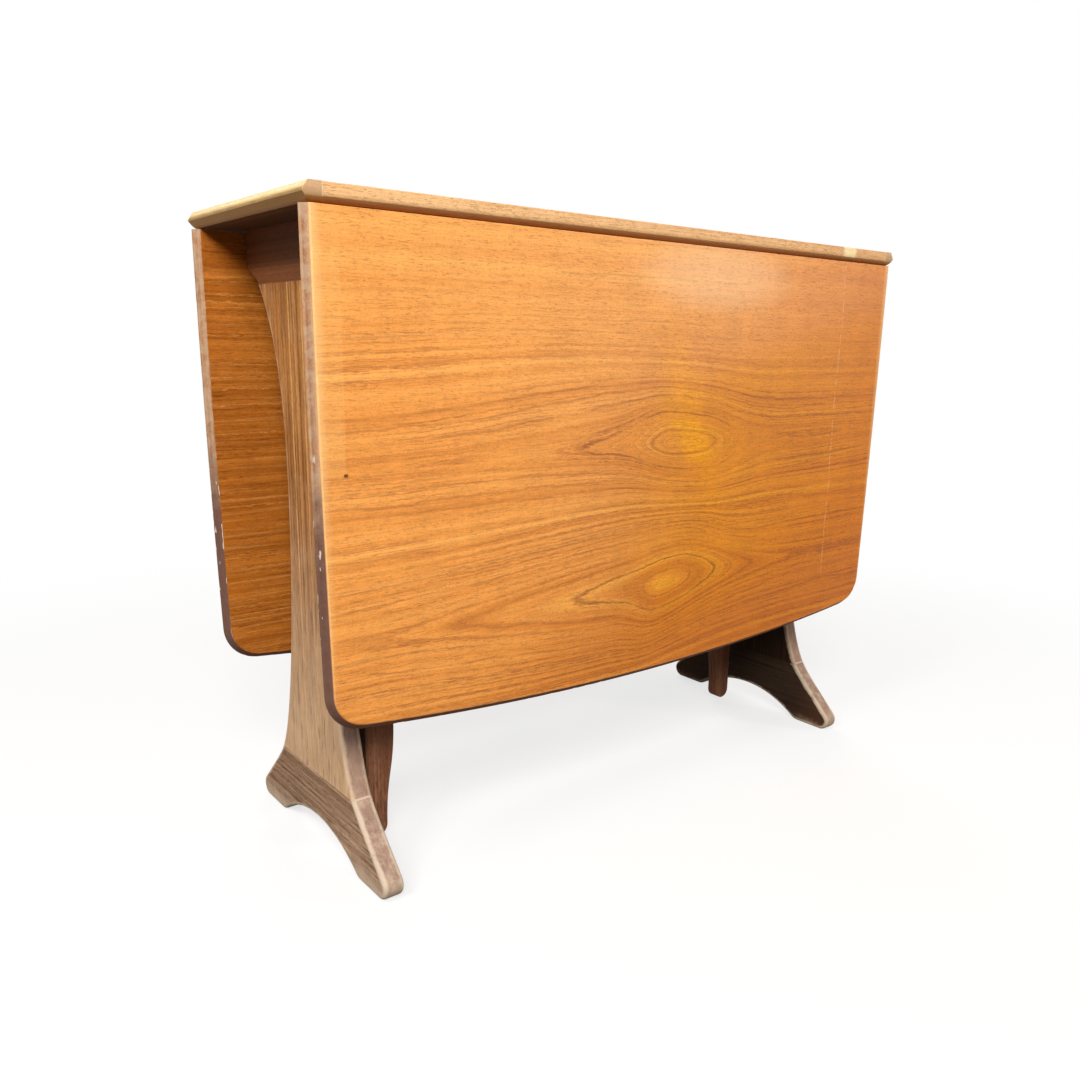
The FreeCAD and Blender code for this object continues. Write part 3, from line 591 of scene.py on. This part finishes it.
topLook = Values(veneerLook, seed=12.0, lines=0.35, cloud=0.10)
topEdgeLook = Values(
    veneerLook, warp=0.004, jag=0.002, bands=90.0, rings=190.0, seed=15.0, cloud=0.08, pale=0.25, lines=0.35,
    places=evenPlaces, tones=[(214, 158, 102), (228, 176, 120), (238, 190, 136), (246, 204, 152)],
    lineTone=(176, 116, 66), poreTone=(160, 104, 60), paleTone=(250, 216, 170))
topEndLook = Values(
    topEdgeLook, seed=18.0, tones=[(196, 160, 106), (224, 190, 134), (238, 210, 158), (246, 224, 180)])
topMarks = Values(  # places are heights, and the patch's along and across the table
    joint=(0.7080, 0.7092), jointTone=(150, 92, 44), under=(0.7032, 0.7040), underTone=(56, 31, 20),
    arris=(0.7195, 0.7206), arrisTone=(190, 128, 74), dentTone=(150, 96, 60),
    patch=(0.340, 0.360), patchAcross=(-0.1497, -0.1480), patchTone=(255, 234, 180),
)
noseMarks = Values(  # places are heights, the side's across and the seam's along the table
    tip=(0.7120, 0.7204), tipTone=(160, 120, 64), stain=(0.7118, 0.7136), stainTone=(126, 104, 58),
    side=(0.1485, 0.1500), sideTone=(208, 166, 128), seam=(0.4370, 0.4376), seamTone=(246, 220, 186),
    lower=(0.7105, 0.7118), lowerTone=(170, 120, 58), lowest=(0.7035, 0.7060),
    lowestTone=(120, 74, 44), under=(0.7028, 0.7033), underTone=(50, 27, 17),
)


def topShadeTint(shader, at, xyz, colour):
    # painted shade: the joint's rounded lower edge and the underside are made darker, as the shade under the
    # top
    m, z = topMarks, xyz[2]
    colour = colour.tinted(z.below(*m.joint) * 0.85, m.jointTone)
    return colour.tinted(z.below(*m.under) * 0.92, m.underTone)


def topEndTintAndShade(shader, at, xyz, colour):
    # painted shade: the nose is pale at its lit upper arris and made darker down towards its tip, with a
    # patchy olive band there, and darker still on its lower side down to the underside; the ends it shows are
    # browner
    m, (x, y, z) = noseMarks, xyz
    # painted shade from the upper arris down to the tip
    tip = (z + shader.noise(at, 3, 0.6, 55) * 0.002).below(*m.tip)
    colour = colour.tinted(tip * 0.90, m.tipTone)
    patchy = shader.noise((x * 60, y * 24, z * 60), 3, 0.6).above(0.35, 0.65) * 0.35 + 0.35
    colour = colour.tinted(z.within(*m.stain, 0.0022) * patchy, m.stainTone)
    side = abs(y).above(*m.side)
    colour = colour.tinted(side * 0.80, m.sideTone)
    colour = colour.tinted(abs(x).within(*m.seam, 0.0006) * side * 0.6, m.seamTone)
    # painted shade on the lower side, darkest by the underside
    colour = colour.tinted(z.below(*m.lower) * (1 - side) * 0.78, m.lowerTone)
    colour = colour.tinted(z.below(*m.lowest) * (1 - side) * 0.6, m.lowestTone)
    return colour.tinted(z.below(*m.under), m.underTone)


def topEdgeTintAndShade(shader, at, xyz, colour):
    # a worn thin line on the upper arris, a pale filled patch, and small dents along the front; then the
    # painted shade below
    m, (x, y, z) = topMarks, xyz
    arris = z.within(*m.arris, 0.0006) * shader.noiseLine(x * 14.0, 2).above(0.35, 0.6)
    colour = colour.tinted(arris * 0.30, m.arrisTone)
    jitter = (shader.noise(at, 2, 0.5, 90) - 0.5) * 0.02
    patch = (x + jitter).within(*m.patch, 0.006) * y.below(*m.patchAcross)
    colour = colour.tinted(patch * 0.8, m.patchTone)
    dent = shader.noise(at, 2, 0.6, 120).above(0.70, 0.74)
    return topShadeTint(shader, at, xyz, colour.tinted(dent * 0.5, m.dentTone))


panelLook = Values(
    veneerLook, warp=0.004, jag=0.0015, warpAlong=0.9, warpAcross=14.0, bands=95.0, rings=150.0, seed=2.2,
    cloud=0.06, fibres=0.45, lines=0.75, lineWidth=0.08, pale=0.35, places=(0.36, 0.46, 0.56, 0.66),
    tones=[(112, 64, 30), (158, 100, 52), (186, 128, 72), (216, 160, 98)],
    lineTone=(76, 42, 20), poreTone=(96, 56, 30), paleTone=(220, 170, 120))
# painted shade: the block's tones are darker than the panel's, as the shade under the top's overhang
shadedBlockLook = Values(
    panelLook, seed=7.7, pale=0.1, bands=60.0, lines=0.3, places=evenPlaces,
    tones=[(98, 56, 30), (116, 68, 38), (132, 80, 47), (148, 94, 58)])
footLook = Values(
    panelLook, seed=4.4, warp=0.008, bands=80.0, fibres=0.7, pores=0.5, pale=0.2, lines=0.8,
    places=evenPlaces, tones=[(124, 92, 69), (167, 132, 105), (195, 160, 131), (220, 190, 160)],
    lineTone=(84, 60, 44), paleTone=(186, 158, 132))
gateLook = Values(
    panelLook, seed=6.1, warp=0.006, pale=0.1, places=evenPlaces,
    tones=[(112, 72, 50), (146, 96, 69), (168, 114, 84), (190, 136, 104)],
    lineTone=(76, 44, 30), paleTone=(206, 160, 128))
railLook = Values(gateLook, seed=8.3, tones=[(92, 58, 40), (112, 72, 51), (128, 84, 60), (144, 98, 72)])
dowelLook = Values(panelLook, seed=1.3, places=(0.30, 0.60), tones=[(176, 140, 96), (206, 172, 126)])
frameMarks = Values(  # places are heights, the inner faces' along and the toes' across the table
    inner=(0.3775, 0.3800), innerTone=(18, 11, 9), innerFootTone=(28, 17, 12),
    streakTone=(104, 72, 50), rubbedPlaces=(0.34, 0.50, 0.66),
    rubbedTones=[(146, 118, 104), (168, 141, 127), (196, 172, 156)],
    bleached=(0.12, 0.46), bleachedTone=(230, 194, 156), dark=(0.105, 0.175), darkTone=(112, 84, 78),
    glue=(0.0925, 0.0935), glueTone=(222, 200, 180), toe=(0.080, 0.155), toeTone=(92, 60, 42),
    tip=(0.018, 0.028), tipTone=(170, 134, 112), sole=(0.018, 0.046), soleTone=(218, 194, 170),
)


def weathered(shader, colour, grain, edge, bare, seed):
    # grey-brown streaks along the grain and blotchy, rubbed edges
    m, (along, across, depth) = frameMarks, grain
    streak = shader.noise((along * 28, across * 330, depth * 330 + seed), 5, 0.72)
    colour = colour.varied(streak, 1.10)
    dark = shader.noise((along * 16, across * 170, depth * 170), 4, 0.65).above(0.54, 0.66)
    colour = colour.tinted(dark * bare * 0.52, m.streakTone)
    blotch = shader.noise((along * 34, across * 130, depth * 130), 5, 0.72)
    return colour.tinted(edge * 0.74, shader.ramp(blotch, m.rubbedPlaces, m.rubbedTones))


def frameTintAndShade(shader, at, xyz, colour):
    # painted shade: faces turned to the middle of the table are made nearly black, as the shade inside the
    # frame; the edges are greyer and rubbed
    m, (x, y, z) = frameMarks, xyz
    inner = abs(x).below(*m.inner)
    outer = 1 - inner
    edge = shader.mark("edge") * outer
    grime = shader.noise(at, 4, 0.6, 18).above(0.45, 0.70)
    # painted shade on the faces turned to the middle
    colour = colour.tinted(inner * 0.95, m.innerTone)
    low = z.below(*m.bleached)
    colour = colour.tinted((low * 0.68 + grime * 0.10) * outer, m.bleachedTone)
    colour = weathered(shader, colour, (z, x, y), edge, outer, 3.0)
    # higher up the edge is darker; a pale glue line shows where it meets the foot
    high = (z + grime * 0.03).above(*m.dark) * 0.45 + 0.25
    colour = colour.tinted(high * edge, m.darkTone)
    return colour.tinted(z.below(*m.glue) * edge * 0.7, m.glueTone)


def footTintAndShade(shader, at, xyz, colour):
    # painted shade: the face turned to the middle is made dark, lighter and browner towards the toes; rubbed
    # grey on the edges, bare at the toes
    m, (x, y, z) = frameMarks, xyz
    inner = abs(x).below(*m.inner)
    outer = 1 - inner
    # painted shade on the face turned to the middle
    colour = colour.tinted(inner * 0.92, m.innerFootTone)
    edge = shader.mark("edge") * (1 - inner * 0.6)
    colour = weathered(shader, colour, (y, x, z), edge, outer, 8.0)
    # the painted shade is lighter and browner at the toes
    toe = abs(y).above(*m.toe) * inner
    colour = colour.tinted(toe * 0.5, m.toeTone)
    height = z + shader.noise(at, 4, 0.65, 60) * 0.03
    colour = colour.tinted(height.below(*m.tip) * toe * 0.6, m.tipTone)
    return colour.tinted(height.below(*m.sole) * outer * 0.70, m.soleTone)


gateWorn = ((150, 112, 88), 0.4)
finishes = {
    "leafFace": leafMaterial("teakVeneerLeaf", False),
    "leafRim": leafMaterial("teakLeafRim", True),
    "topPanel": plainWood("teakVeneerTop", 0, topLook, 0.48, None, topShadeTint, 0.16),
    "topEdge": plainWood("teakEdgeLipping", 0, topEdgeLook, 0.45, None, topEdgeTintAndShade, 0.2),
    # partly painted highlight: on this nose the pale worn tone along the upper arris also stands in for the
    # light on it
    "topEnd": plainWood("teakEndLipping", 1, topEndLook, 0.45, ((246, 226, 184), 0.6), topEndTintAndShade),
    "panel": plainWood("teakFramePanel", 2, panelLook, 0.55, ((204, 180, 156), 0.7), frameTintAndShade, 0.05),
    "block": plainWood("teakFrameBlock", 1, shadedBlockLook, 0.55, ((128, 92, 70), 0.4)),
    "foot": plainWood("teakFoot", 1, footLook, 0.62, ((216, 196, 174), 0.85), footTintAndShade, 0.05),
    "leg": plainWood("gateUpright", 2, gateLook, 0.55, gateWorn),
    "gateRail": plainWood("gateRail", 0, gateLook, 0.55, gateWorn),
    "rail": plainWood("railWood", 0, railLook, 0.55, gateWorn),
    "post": plainWood("postWood", 2, railLook, 0.55, gateWorn),
    "dowel": plainWood("beechDowel", 0, dowelLook, 0.6),
    "brass": metal("dullBrass", (190, 156, 92), 0.38),
    "steel": metal("plainSteel", (150, 150, 150), 0.35),
}
finishWords = [  # a node's finish is that of the first of these words in its name
    ("dowels", "dowel"), ("hinge_pins", "steel"), ("bracket", "steel"), ("stop_screws", "steel"),
    ("flaps", "brass"), ("screws", "brass"), ("top_edge", "topEdge"), ("top_end", "topEnd"),
    ("centre_top", "topPanel"), ("foot", "foot"), ("block", "block"), ("frame", "panel"),
    ("lipping", "leafFace"), ("panel", "leafFace"), ("leg", "leg"), ("stile", "leg"), ("stretcher", "rail"),
    ("upper_rail", "rail"), ("post", "post"), ("", "gateRail"),
]
print("stage: materials made")


def nodeFinish(node):
    return next(finish for word, finish in finishWords if word in node)


for name, node in frame["nodes"].items():
    node.data.materials.clear()
    node.data.materials.append(finishes[nodeFinish(name)])

bodyOf = {node: body for body, nodes in frame["record"]["behaviour"]["bodies"].items() for node in nodes}

leafSizes = Values(
    halfLength=0.457, start=0.1513, length=0.528, endBow=0.0083, outerBow=0.027, corner=0.045,
    lipping=0.031, pivotY=0.141, pivotZ=0.7125, top=0.721, thick=0.018,
    noseUpper=0.008, noseLower=0.0065, noseDrop=0.009, eases=[0, 0.0010, 0.0012, 0.0010, 0],
    step=0.0012, wearReach=0.0011, edgeFade=0.0008, edgeReach=0.0068, skin=0.0002,
    chip=0.0009, chipStep=0.006, chipSpread=0.05, chipFrom=0.72,
)
rims = [  # lipping, is it the outer one, is it mirrored, seed of its chips
    ("end_lipping_right", False, False, 3), ("end_lipping_left", False, True, 5),
    ("outer_lipping", True, False, 7),
]


def nosed(s, thick, steps):
    # section of a lipping as inset and depth, from seam round the nose to seam; and its sharp corners
    corners = [(s.lipping, 0), (s.noseUpper, 0), (0, s.noseDrop), (s.noseLower, thick), (s.lipping, thick)]
    return divided(rounded(corners, s.eases, steps), s.step), np.array(corners)


def rimProfile():
    # a leaf lipping's section, and how worn it is and whether it is edge or face at each point
    s = leafSizes
    points, corners = nosed(s, s.thick, 4)
    inset, depth = points.T
    near = np.linalg.norm(points[:, None] - corners[1:4], axis=2).min(1)
    edge = np.clip((s.noseUpper - inset) / s.edgeFade + 0.4, 0, 1)
    onNose = (depth > s.skin) & (depth < s.thick - s.skin)
    return points, np.exp(-near / s.wearReach), np.maximum(edge, onNose) * (inset < s.edgeReach)


def rimArcs():
    # centres and radii of the end arc, the corner arc and the outer arc of an open leaf, corner touching both
    s = leafSizes
    endRadius, outerRadius = bowRadius(s.length, s.endBow), bowRadius(s.halfLength, s.outerBow)
    end = np.array([s.halfLength - endRadius, s.start])
    outer = np.array([0.0, s.start + s.length - outerRadius])
    toEnd, toOuter = endRadius - s.corner, outerRadius - s.corner
    span = np.linalg.norm(outer - end)
    way = (outer - end) / span
    along = (span ** 2 + toEnd ** 2 - toOuter ** 2) / (2 * span)
    across = math.sqrt(toEnd ** 2 - along ** 2)
    options = [end + way * along + np.array([-way[1], way[0]]) * across * sign for sign in (-1, 1)]
    corner = max(options, key=lambda point: point[0])
    return (end, endRadius), (corner, s.corner), (outer, outerRadius)


def rimGrid(isOuter, seed):
    # each profile point runs along arcs that share centres: point = centre + (radius - inset) * direction
    s = leafSizes
    (end, endRadius), (corner, cornerRadius), (outer, outerRadius) = rimArcs()
    points, wear, edge = rimProfile()
    toCorner = math.atan2(corner[1] - end[1], corner[0] - end[0])
    toOuter = math.atan2(corner[1] - outer[1], corner[0] - outer[0])
    mitre = math.pi / 4
    if isOuter:
        stretches = [(corner, cornerRadius, mitre, toOuter, 10),
                     (outer, outerRadius, toOuter, math.pi - toOuter, 260),
                     (corner * (-1, 1), cornerRadius, math.pi - toOuter, math.pi - mitre, 10)]
    else:
        stretches = [(end, endRadius, 0.0, toCorner, 200), (corner, cornerRadius, toCorner, mitre, 10)]
    columns = [(np.tile(middle, (count, 1)), np.full(count, size), np.linspace(start, stop, count))
               for middle, size, start, stop, count in stretches]
    centre, radius, angle = [np.concatenate(column) for column in zip(*columns)]
    places = np.concatenate([[0], np.cumsum(np.abs(np.diff(angle)) * radius[1:])])
    chip = np.clip(roughness(places, seed, s.chipStep) - s.chipFrom, 0, 1)
    chip = chip * roughness(places, seed + 1, s.chipSpread) * 4
    inset = points[None, :, 0] + chip[:, None] * wear * s.chip
    reach = radius[:, None] - inset
    flatX = centre[:, :1] + reach * np.cos(angle)[:, None]
    flatY = centre[:, 1:] + reach * np.sin(angle)[:, None]
    uv = np.stack(np.broadcast_arrays(places[:, None], lengths(points)[None]), -1)
    # the hanging leaf: the open leaf turned down about its hinge
    outward = s.pivotY + s.top - s.pivotZ - points[:, 1]
    grid = np.stack(np.broadcast_arrays(flatX, outward, s.pivotZ + s.pivotY - flatY), -1)
    return grid, uv, {"wear": wear[None], "edge": edge[None]}


def makeRims():
    for leaf, turn in (("rear", False), ("front", True)):
        for suffix, isOuter, mirrored, seed in rims:
            grid, uv, marks = rimGrid(isOuter, seed + 20 * turn)
            # a half turn swaps the ends, so the left lipping is the mirrored one only on the rear leaf
            if mirrored != (turn and not isOuter):
                grid = grid * (-1, 1, 1)
            grid = halfTurn(grid) if turn else grid
            makePiece("rim_", "leaf_" + leaf + "_" + suffix, grid, marks, 32, "leafRim", uv)


topSizes = Values(
    halfLength=0.457, halfWidth=0.1505, pivotY=0.141, pivotZ=0.7125, joint=0.0095,
    top=0.721, under=0.703, lipping=0.020, edgeLipping=0.018, recess=0.0003,
    noseUpper=0.006, noseLower=0.0065, noseDrop=0.009, eases=[0, 0.0016, 0.0034, 0.0008, 0],
    step=0.0015, endWear=0.0018, ease=0.0010, rim=0.004, edgeWear=0.0012,
)


def topEndGrid():
    # sections across the table: the nose profile, cut off below by the joint's quarter round at both sides
    s = topSizes
    thick = s.top - s.under
    bend = np.sin(np.linspace(0, np.pi / 2, 9)) * s.joint
    flat = np.linspace(-s.pivotY, s.pivotY, 90)[1:-1]
    sideY = np.concatenate([-s.pivotY - bend[::-1], flat, s.pivotY + bend])
    past = np.maximum(np.abs(sideY) - s.pivotY, 0)
    low = s.pivotZ - np.sqrt(np.maximum(s.joint ** 2 - past ** 2, 0))
    points, corners = nosed(s, thick, 6)
    inset, depth = points.T[:, None]
    near = np.linalg.norm(points - corners[1], axis=1)
    z = np.maximum(s.top - depth, low[:, None])
    cut = np.maximum(s.top - s.noseDrop - z, 0) * (s.noseLower / (thick - s.noseDrop))
    onLower = (depth > s.noseDrop) & (depth <= thick - tiny)
    inset = np.where(onLower, np.maximum(np.minimum(inset, cut), 0), inset)
    grid = np.stack(np.broadcast_arrays(s.halfLength - inset, sideY[:, None], z), -1)
    return grid, {"wear": np.exp(-near / s.endWear)[None]}


def topEdgeGrid():
    # one section swept along the table: eased upper arris, short upright edge, quarter round, flat underside
    s = topSizes
    bend = arcPoints((s.pivotY, s.pivotZ), s.joint, 0, -np.pi / 2, 12)[1:]
    bend[-1, 1] += s.recess
    arris = arcPoints((s.halfWidth - s.ease, s.top - s.ease), s.ease, np.pi / 2, 0, 6)
    seam = s.halfWidth - s.edgeLipping
    section = np.concatenate([[(seam, s.top), (s.halfWidth - s.rim, s.top)], arris,
                              [(s.halfWidth, s.pivotZ)], bend, [(seam, s.under + s.recess)]])
    near = np.linalg.norm(section - (s.halfWidth, s.top), axis=1)
    x = np.linspace(-1, 1, 240) * (s.halfLength - s.lipping)
    grid = np.insert(np.tile(section, (len(x), 1, 1)), 0, x[:, None], axis=2)
    return grid, {"wear": np.exp(-near / s.edgeWear)[None]}


frameSizes = Values(
    outer=0.401, thick=0.0245, under=0.703, blockHeight=0.0585, blockHalf=0.1295,
    rootHalf=0.100, curveRise=0.027, waist=(0.0435, 0.430), footHeight=0.091, shoulder=0.095,
    toeReach=0.163, toeRadius=0.014, archHalf=0.100, archRise=0.033, archEnd=0.018,
    round=0.004, shoulderPull=(0.029, 0.044), waistPull=(0.150, 0.100), rootPull=(0.036, 0.045),
)


def frameCurves():
    # half outlines of foot side, panel and block as curves of (y, z), toe to top
    f = frameSizes
    slant = f.toeRadius * math.sqrt(0.5)
    toe = (f.toeReach - f.toeRadius + slant, f.toeRadius + slant)
    shoulder, waist = (f.shoulder, f.footHeight), f.waist
    blockBottom = f.under - f.blockHeight
    root = (f.rootHalf, blockBottom)
    rise = (shoulder[1] - toe[1]) * 0.4
    inward, upward = f.shoulderPull
    below, above = f.waistPull
    rootIn, rootDown = f.rootPull
    foot = [toe, (toe[0] - rise, toe[1] + rise),
            (shoulder[0] + inward * 0.35, shoulder[1] - upward * 0.35), shoulder]
    lower = [shoulder, (shoulder[0] - inward, shoulder[1] + upward), (waist[0], waist[1] - below), waist]
    upper = [waist, (waist[0], waist[1] + above), (root[0] - rootIn, root[1] - rootDown), root]
    block = [root, (root[0] + rootIn / 4, root[1] + rootDown / 4),
             (f.blockHalf, blockBottom + f.curveRise * 0.4), (f.blockHalf, blockBottom + f.curveRise)]
    return [bezier(poles, count) for poles, count in ((foot, 24), (lower, 40), (upper, 36), (block, 14))]


def bothSides(*curves):
    # a closed outline from the curves of its half: up the positive side, down the mirrored one
    half = np.concatenate(curves)
    return withoutDoubles(np.concatenate([half, (half * (-1, 1))[::-1]]))


def makeFrames():
    f = frameSizes
    foot, lower, upper, block = frameCurves()
    # the arch's arc and the smaller arcs that round its ends touch where their centres' line crosses them
    archRadius = bowRadius(f.archHalf, f.archRise)
    archZ = f.archRise - archRadius
    endY = math.sqrt((archRadius + f.archEnd) ** 2 - (f.archEnd - archZ) ** 2)
    lean = math.atan2(f.archEnd - archZ, endY)
    arch = arcPoints((0, archZ), archRadius, math.pi / 2, lean, 22)
    archEnd = arcPoints((endY, f.archEnd), f.archEnd, lean - math.pi, -math.pi / 2, 8)[1:]
    toe = arcPoints((f.toeReach - f.toeRadius, f.toeRadius), f.toeRadius, -math.pi / 2, math.pi / 4, 16)
    blockBottom = f.under - f.blockHeight
    parts = {
        "foot": (bothSides(arch, archEnd, toe, foot), [f.footHeight]),
        "panel": (bothSides(lower, upper[1:]), [f.footHeight, blockBottom]),
        "top_block": (bothSides(block, [(f.blockHalf, f.under)]), [blockBottom, f.under]),
    }
    for part, (outline, level) in parts.items():
        grid, marks = plate(outline, f.outer - f.thick, f.outer, 0, f.round, level)
        fromMiddle = np.abs(np.arange(len(grid)) - (len(grid) - 1) / 2)
        marks["edge"] = np.clip((3.5 - fromMiddle) / 1.5, 0, 1)[:, None]
        makePair("eased_", ["end_frame_right_" + part, "end_frame_left_" + part], grid, marks, 40)


gateSizes = Values(
    inner=0.022, outer=0.042, top=0.7024, legOuter=0.357, legInner=0.319, floor=0.0065,
    footWidth=0.027, knee=0.150, arris=0.0012, boardArris=0.0010, fade=0.004,
)


def legOutline():
    # straight outer side, rounded foot, inner side that tapers in a shallow S
    g = gateSizes
    radius = g.footWidth / 2
    footZ = g.floor + radius
    drop = (g.knee - footZ) / 2
    foot = arcPoints((g.legOuter - radius, footZ), radius, 0, -math.pi, 14)
    innerFoot = g.legOuter - g.footWidth
    taper = bezier([(innerFoot, footZ), (innerFoot, footZ + drop), (g.legInner, g.knee - drop),
                    (g.legInner, g.knee)], 20)[1:]
    return np.concatenate([[(g.legOuter, g.top)], foot, taper, [(g.legInner, g.top)]])


def board(low, high):
    # a rectangular board between two corners, thin across the table, all twelve arrises softened
    (x0, y0, z0), (x1, y1, z1) = low, high
    arris = gateSizes.boardArris
    outline = rounded([(x0, z0), (x1, z0), (x1, z1), (x0, z1)], arris, 3)
    diagonal = np.sign(np.array([(x0 + x1) / 2, (z0 + z1) / 2]) - outline)
    return plate(outline, y0, y1, 1, arris, (), gateSizes.fade, diagonal)


def makeGatesAndRails():
    g = gateSizes
    grid, marks = plate(legOutline(), g.inner, g.outer, 1, g.arris, (), g.fade)
    makePair("eased_", ["gate_rear_leg", "gate_front_leg"], grid, marks, 40)
    gateBoards = ["gate_" + side + part for part in ("_hinge_stile", "_top_rail", "_bottom_rail")
                  for side in ("rear", "front")]
    for node in gateBoards + ["upper_rail", "lower_stretcher", "centre_post"]:
        makePiece("eased_", node, *board(*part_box(node)), 40)


makeRims()
makePair("nosed_", ["top_end_lipping_right", "top_end_lipping_left"], *topEndGrid(), 28)
makePair("eased_", ["top_edge_lipping_rear", "top_edge_lipping_front"], *topEdgeGrid(), 32)
makeFrames()
makeGatesAndRails()
print("stage: rims, end frames, gates and rails made")

stageLook = Values(
    floorSize=14.0, floorDrop=0.0003, floorLit=(0.92, 0.92, 0.92), floorBounce=(0.12, 0.115, 0.11),
    glow=0.70, glowAway=(0.6, 1.7), ambient=0.20, ambientColour=(1.0, 0.98, 0.95),
)


def shownAs(shader, lighting, shown):
    # one shader for the light it gives, another for what is seen, straight, in a gloss or through glass
    path = shader.add("LightPath").outputs
    rays = ("Is Camera Ray", "Is Glossy Ray", "Is Transmission Ray")
    straight, gloss, glass = [Wire(shader, path[ray]) for ray in rays]
    seen = straight.math("MAXIMUM", gloss).math("MAXIMUM", glass)
    return shader.wire("MixShader", {0: seen, 1: lighting, 2: shown})


def makeFloor():
    # flat pale square just under the feet: it looks nearly white but throws back little light
    look = stageLook
    half, z = look.floorSize / 2, -look.floorDrop
    mesh = bpy.data.meshes.new("floor")
    corners = [(x * half, y * half, z) for x, y in ((-1, -1), (1, -1), (1, 1), (-1, 1))]
    mesh.from_pydata(corners, [], [(0, 1, 2, 3)])
    floor = addObject("floor", mesh)
    shader = Shader(bpy.data.materials.new("paleFloor"))
    lit = shader.wire("BsdfDiffuse", {"Color": (*look.floorLit, 1)})
    glow = shader.wire("Emission", {"Color": (1, 1, 1, 1), "Strength": 1.0})
    _, (x, y, _) = shader.place()
    away = (x * x + y * y).math("SQRT").above(*look.glowAway)
    shown = shader.wire("MixShader", {0: away * (1 - look.glow) + look.glow, 1: lit, 2: glow})
    bounce = shader.wire("BsdfDiffuse", {"Color": (*look.floorBounce, 1)})
    shader.add("OutputMaterial", {0: shownAs(shader, bounce, shown)})
    mesh.materials.append(shader.owner)


def makeWorld():
    world = bpy.data.worlds.new("studio")
    bpy.context.scene.world = world
    shader = Shader(world)
    ambient = {"Color": (*stageLook.ambientColour, 1), "Strength": stageLook.ambient}
    light = shader.wire("Background", ambient)
    white = shader.wire("Background", {"Color": (1, 1, 1, 1), "Strength": 1.0})
    shader.add("OutputWorld", {0: shownAs(shader, light, white)})


lamps = {  # place, aim, size, watts, colour
    "backLamp": ((1.6, 2.7, 1.75), (0.0, 0.1, 0.4), 2.2, 54.0, (1.0, 0.98, 0.95)),
    "keyLamp": ((-1.5, -1.9, 2.0), (-0.1, 0.0, 0.45), 1.2, 69.0, (1.0, 0.96, 0.90)),
    "sideLamp": ((-2.1, -0.45, 2.2), (-0.4, 0.0, 0.4), 0.9, 34.0, (1.0, 0.98, 0.95)),
    "sheenLamp": ((1.75, -1.63, 0.95), (0.08, -0.15, 0.67), 0.5, 16.0, (1.0, 0.95, 0.88)),
}


def makeLamps():
    for name, (at, aim, size, watts, colour) in lamps.items():
        data = bpy.data.lights.new(name, "AREA")
        data.shape, data.size, data.energy, data.color = "DISK", size, watts, colour
        lamp = addObject(name, data)
        lamp.location = at
        lamp.rotation_euler = (Vector(aim) - Vector(at)).to_track_quat("-Z", "Y").to_euler()


view = Values(
    at=(-0.82422, -0.95927, 0.58456), yaw=0.66984, pitch=0.23026, roll=0.01567,
    focal=935.96, middle=(543.20, 563.37), frame=1080.0, sensor=36.0,
)


def makeCamera():
    # yaw turns from +Y to +X, pitch looks down, roll tips the frame; middle is where its axis meets the frame
    data = bpy.data.cameras.new("camera")
    data.sensor_width = view.sensor
    data.lens = view.focal / view.frame * view.sensor
    data.shift_x = (view.frame / 2 - view.middle[0]) / view.frame
    data.shift_y = (view.middle[1] - view.frame / 2) / view.frame
    camera = addObject("camera", data)
    turns = ((-view.yaw, "Z"), (math.pi / 2 - view.pitch, "X"), (view.roll, "Z"))
    yaw, pitch, roll = [Matrix.Rotation(angle, 4, axis) for angle, axis in turns]
    camera.matrix_world = Matrix.Translation(view.at) @ yaw @ pitch @ roll
    bpy.context.scene.camera = camera


makeFloor()
makeWorld()
makeLamps()
makeCamera()
bpy.context.scene.view_settings.view_transform = "Standard"
print("stage: floor, lamps and camera set")
